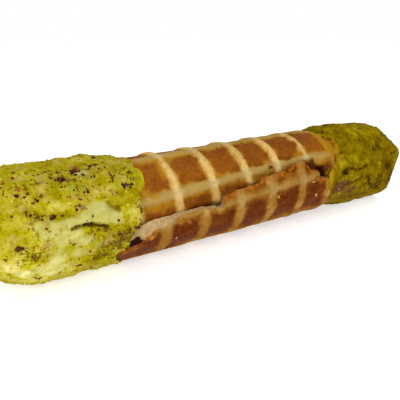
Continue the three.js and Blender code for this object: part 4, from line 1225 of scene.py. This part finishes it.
# ---- Loose crumbs ----
# Crumbs of the torn edge, and a few bits of nut, that fell on the sheet and stuck to it. They are as
# dry and matt as the chips.
CRUMBS = [  # x, turn, half length in mm, colour
    (-12.4, 188.5, 0.3, "b89a78"), (-17.2, 205.9, 0.3, "b09070"), (-15.5, 208.1, 0.35, "b89a78"),
    (-25.3, 197.2, 0.25, "c09058"), (18, 184, 0.6, "a88c1c"), (18.6, 181, 0.35, "9c8420"),
    (34.1, 194.1, 0.6, "b08c50"), (32.1, 175.3, 0.6, "b08868"), (17.4, 506, 0.35, "3c2008"),
    (16.6, 507.5, 0.25, "4a2a0a"), (-24.4, 499, 0.3, "2e1808"), (-22.8, 502.5, 0.25, "38200c"),
    (9.5, 505, 0.25, "a88c1c"), (-14, 480, 0.2, "b8983c"),
]
OTHER_CRUMBS = 60
CRUMB_RANGES = [(-30, 40), (190, 490), (0.1, 0.24)]  # x, turn and half length of the others
OTHER_CRUMB_TINTS = ["b0905c", "a08c24", "4a280e"]
*measures, crumb_colours = zip(*CRUMBS)
crumb_x, crumb_turn, crumb_half = (
    np.concatenate([measure, random.uniform(*limits, OTHER_CRUMBS)])
    for measure, limits in zip(measures, CRUMB_RANGES)
)
other_colours = [OTHER_CRUMB_TINTS[n] for n in random.integers(3, size=OTHER_CRUMBS)]
crumb_tints = np.array([linear(shade) for shade in [*crumb_colours, *other_colours]])
on_sheet = sheet_face(crumb_x, crumb_turn) + RIB_HEIGHT * rib_share(crumb_x, crumb_turn)
crumb_bits = broken_bits(round_roll(crumb_x, on_sheet, crumb_turn), crumb_half)
crumbs = joined("loose_crumbs", crumb_bits, ico_faces, crumb_tints)
crumbs.data.materials.append(toasted)
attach(crumbs, "root")

# ---- Floor and light ----
# A plain white board under an even, soft light: a large panel in front and to the left, a weaker one
# high on the right, and white all round.
FLOOR_HALF = 3000  # mm
PANELS = [  # place in mm, size in mm, watts
    ((-260, -330, 230), 320, 1.25),
    ((180, -80, 420), 350, 0.4),
]
ROOM_LIGHT = 0.6  # of the white all round, which itself shows as white
BOARD_WHITE = 0.78
BOARD_GLOW = 0.53  # the board is lit from below too, as a light table is
BOARD_DROP = 0.03  # mm below the roll's flat spot, so that the two don't share a plane
corners = np.array([(-1, -1, 0), (1, -1, 0), (1, 1, 0), (-1, 1, 0)]) * FLOOR_HALF - (0, 0, BOARD_DROP)
floor_mesh = bpy.data.meshes.new("floor")
floor_mesh.from_pydata((corners * MM).tolist(), [], [(0, 1, 2, 3)])
floor = bpy.data.objects.new("floor", floor_mesh)
bpy.context.scene.collection.objects.link(floor)
board = bpy.data.materials.new("white_board")
board.use_nodes = True
surface = board.node_tree.nodes["Principled BSDF"].inputs
surface["Base Color"].default_value = (BOARD_WHITE, BOARD_WHITE, BOARD_WHITE, 1)
surface["Roughness"].default_value = 0.9
surface["Emission Color"].default_value = (1, 1, 1, 1)
surface["Emission Strength"].default_value = BOARD_GLOW
floor.data.materials.append(board)

for n, (at, size, watts) in enumerate(PANELS):
    panel_data = bpy.data.lights.new(f"panel_{n}", "AREA")
    panel_data.shape = "DISK"
    panel_data.size = size * MM
    panel_data.energy = watts
    panel = bpy.data.objects.new(f"panel_{n}", panel_data)
    panel.location = Vector(at) * MM
    panel.rotation_euler = (-Vector(at)).to_track_quat("-Z", "Y").to_euler()
    bpy.context.scene.collection.objects.link(panel)

world = bpy.data.worlds.new("white_room")
world.use_nodes = True
tree = world.node_tree
seen = add(tree, "ShaderNodeLightPath")
strength = add(tree, "ShaderNodeMapRange", {"Value": seen, "To Min": ROOM_LIGHT, "To Max": 1})
tree.nodes["Background"].inputs["Color"].default_value = (1, 1, 1, 1)
tree.links.new(strength, tree.nodes["Background"].inputs["Strength"])
bpy.context.scene.world = world
bpy.context.scene.view_settings.view_transform = "Standard"
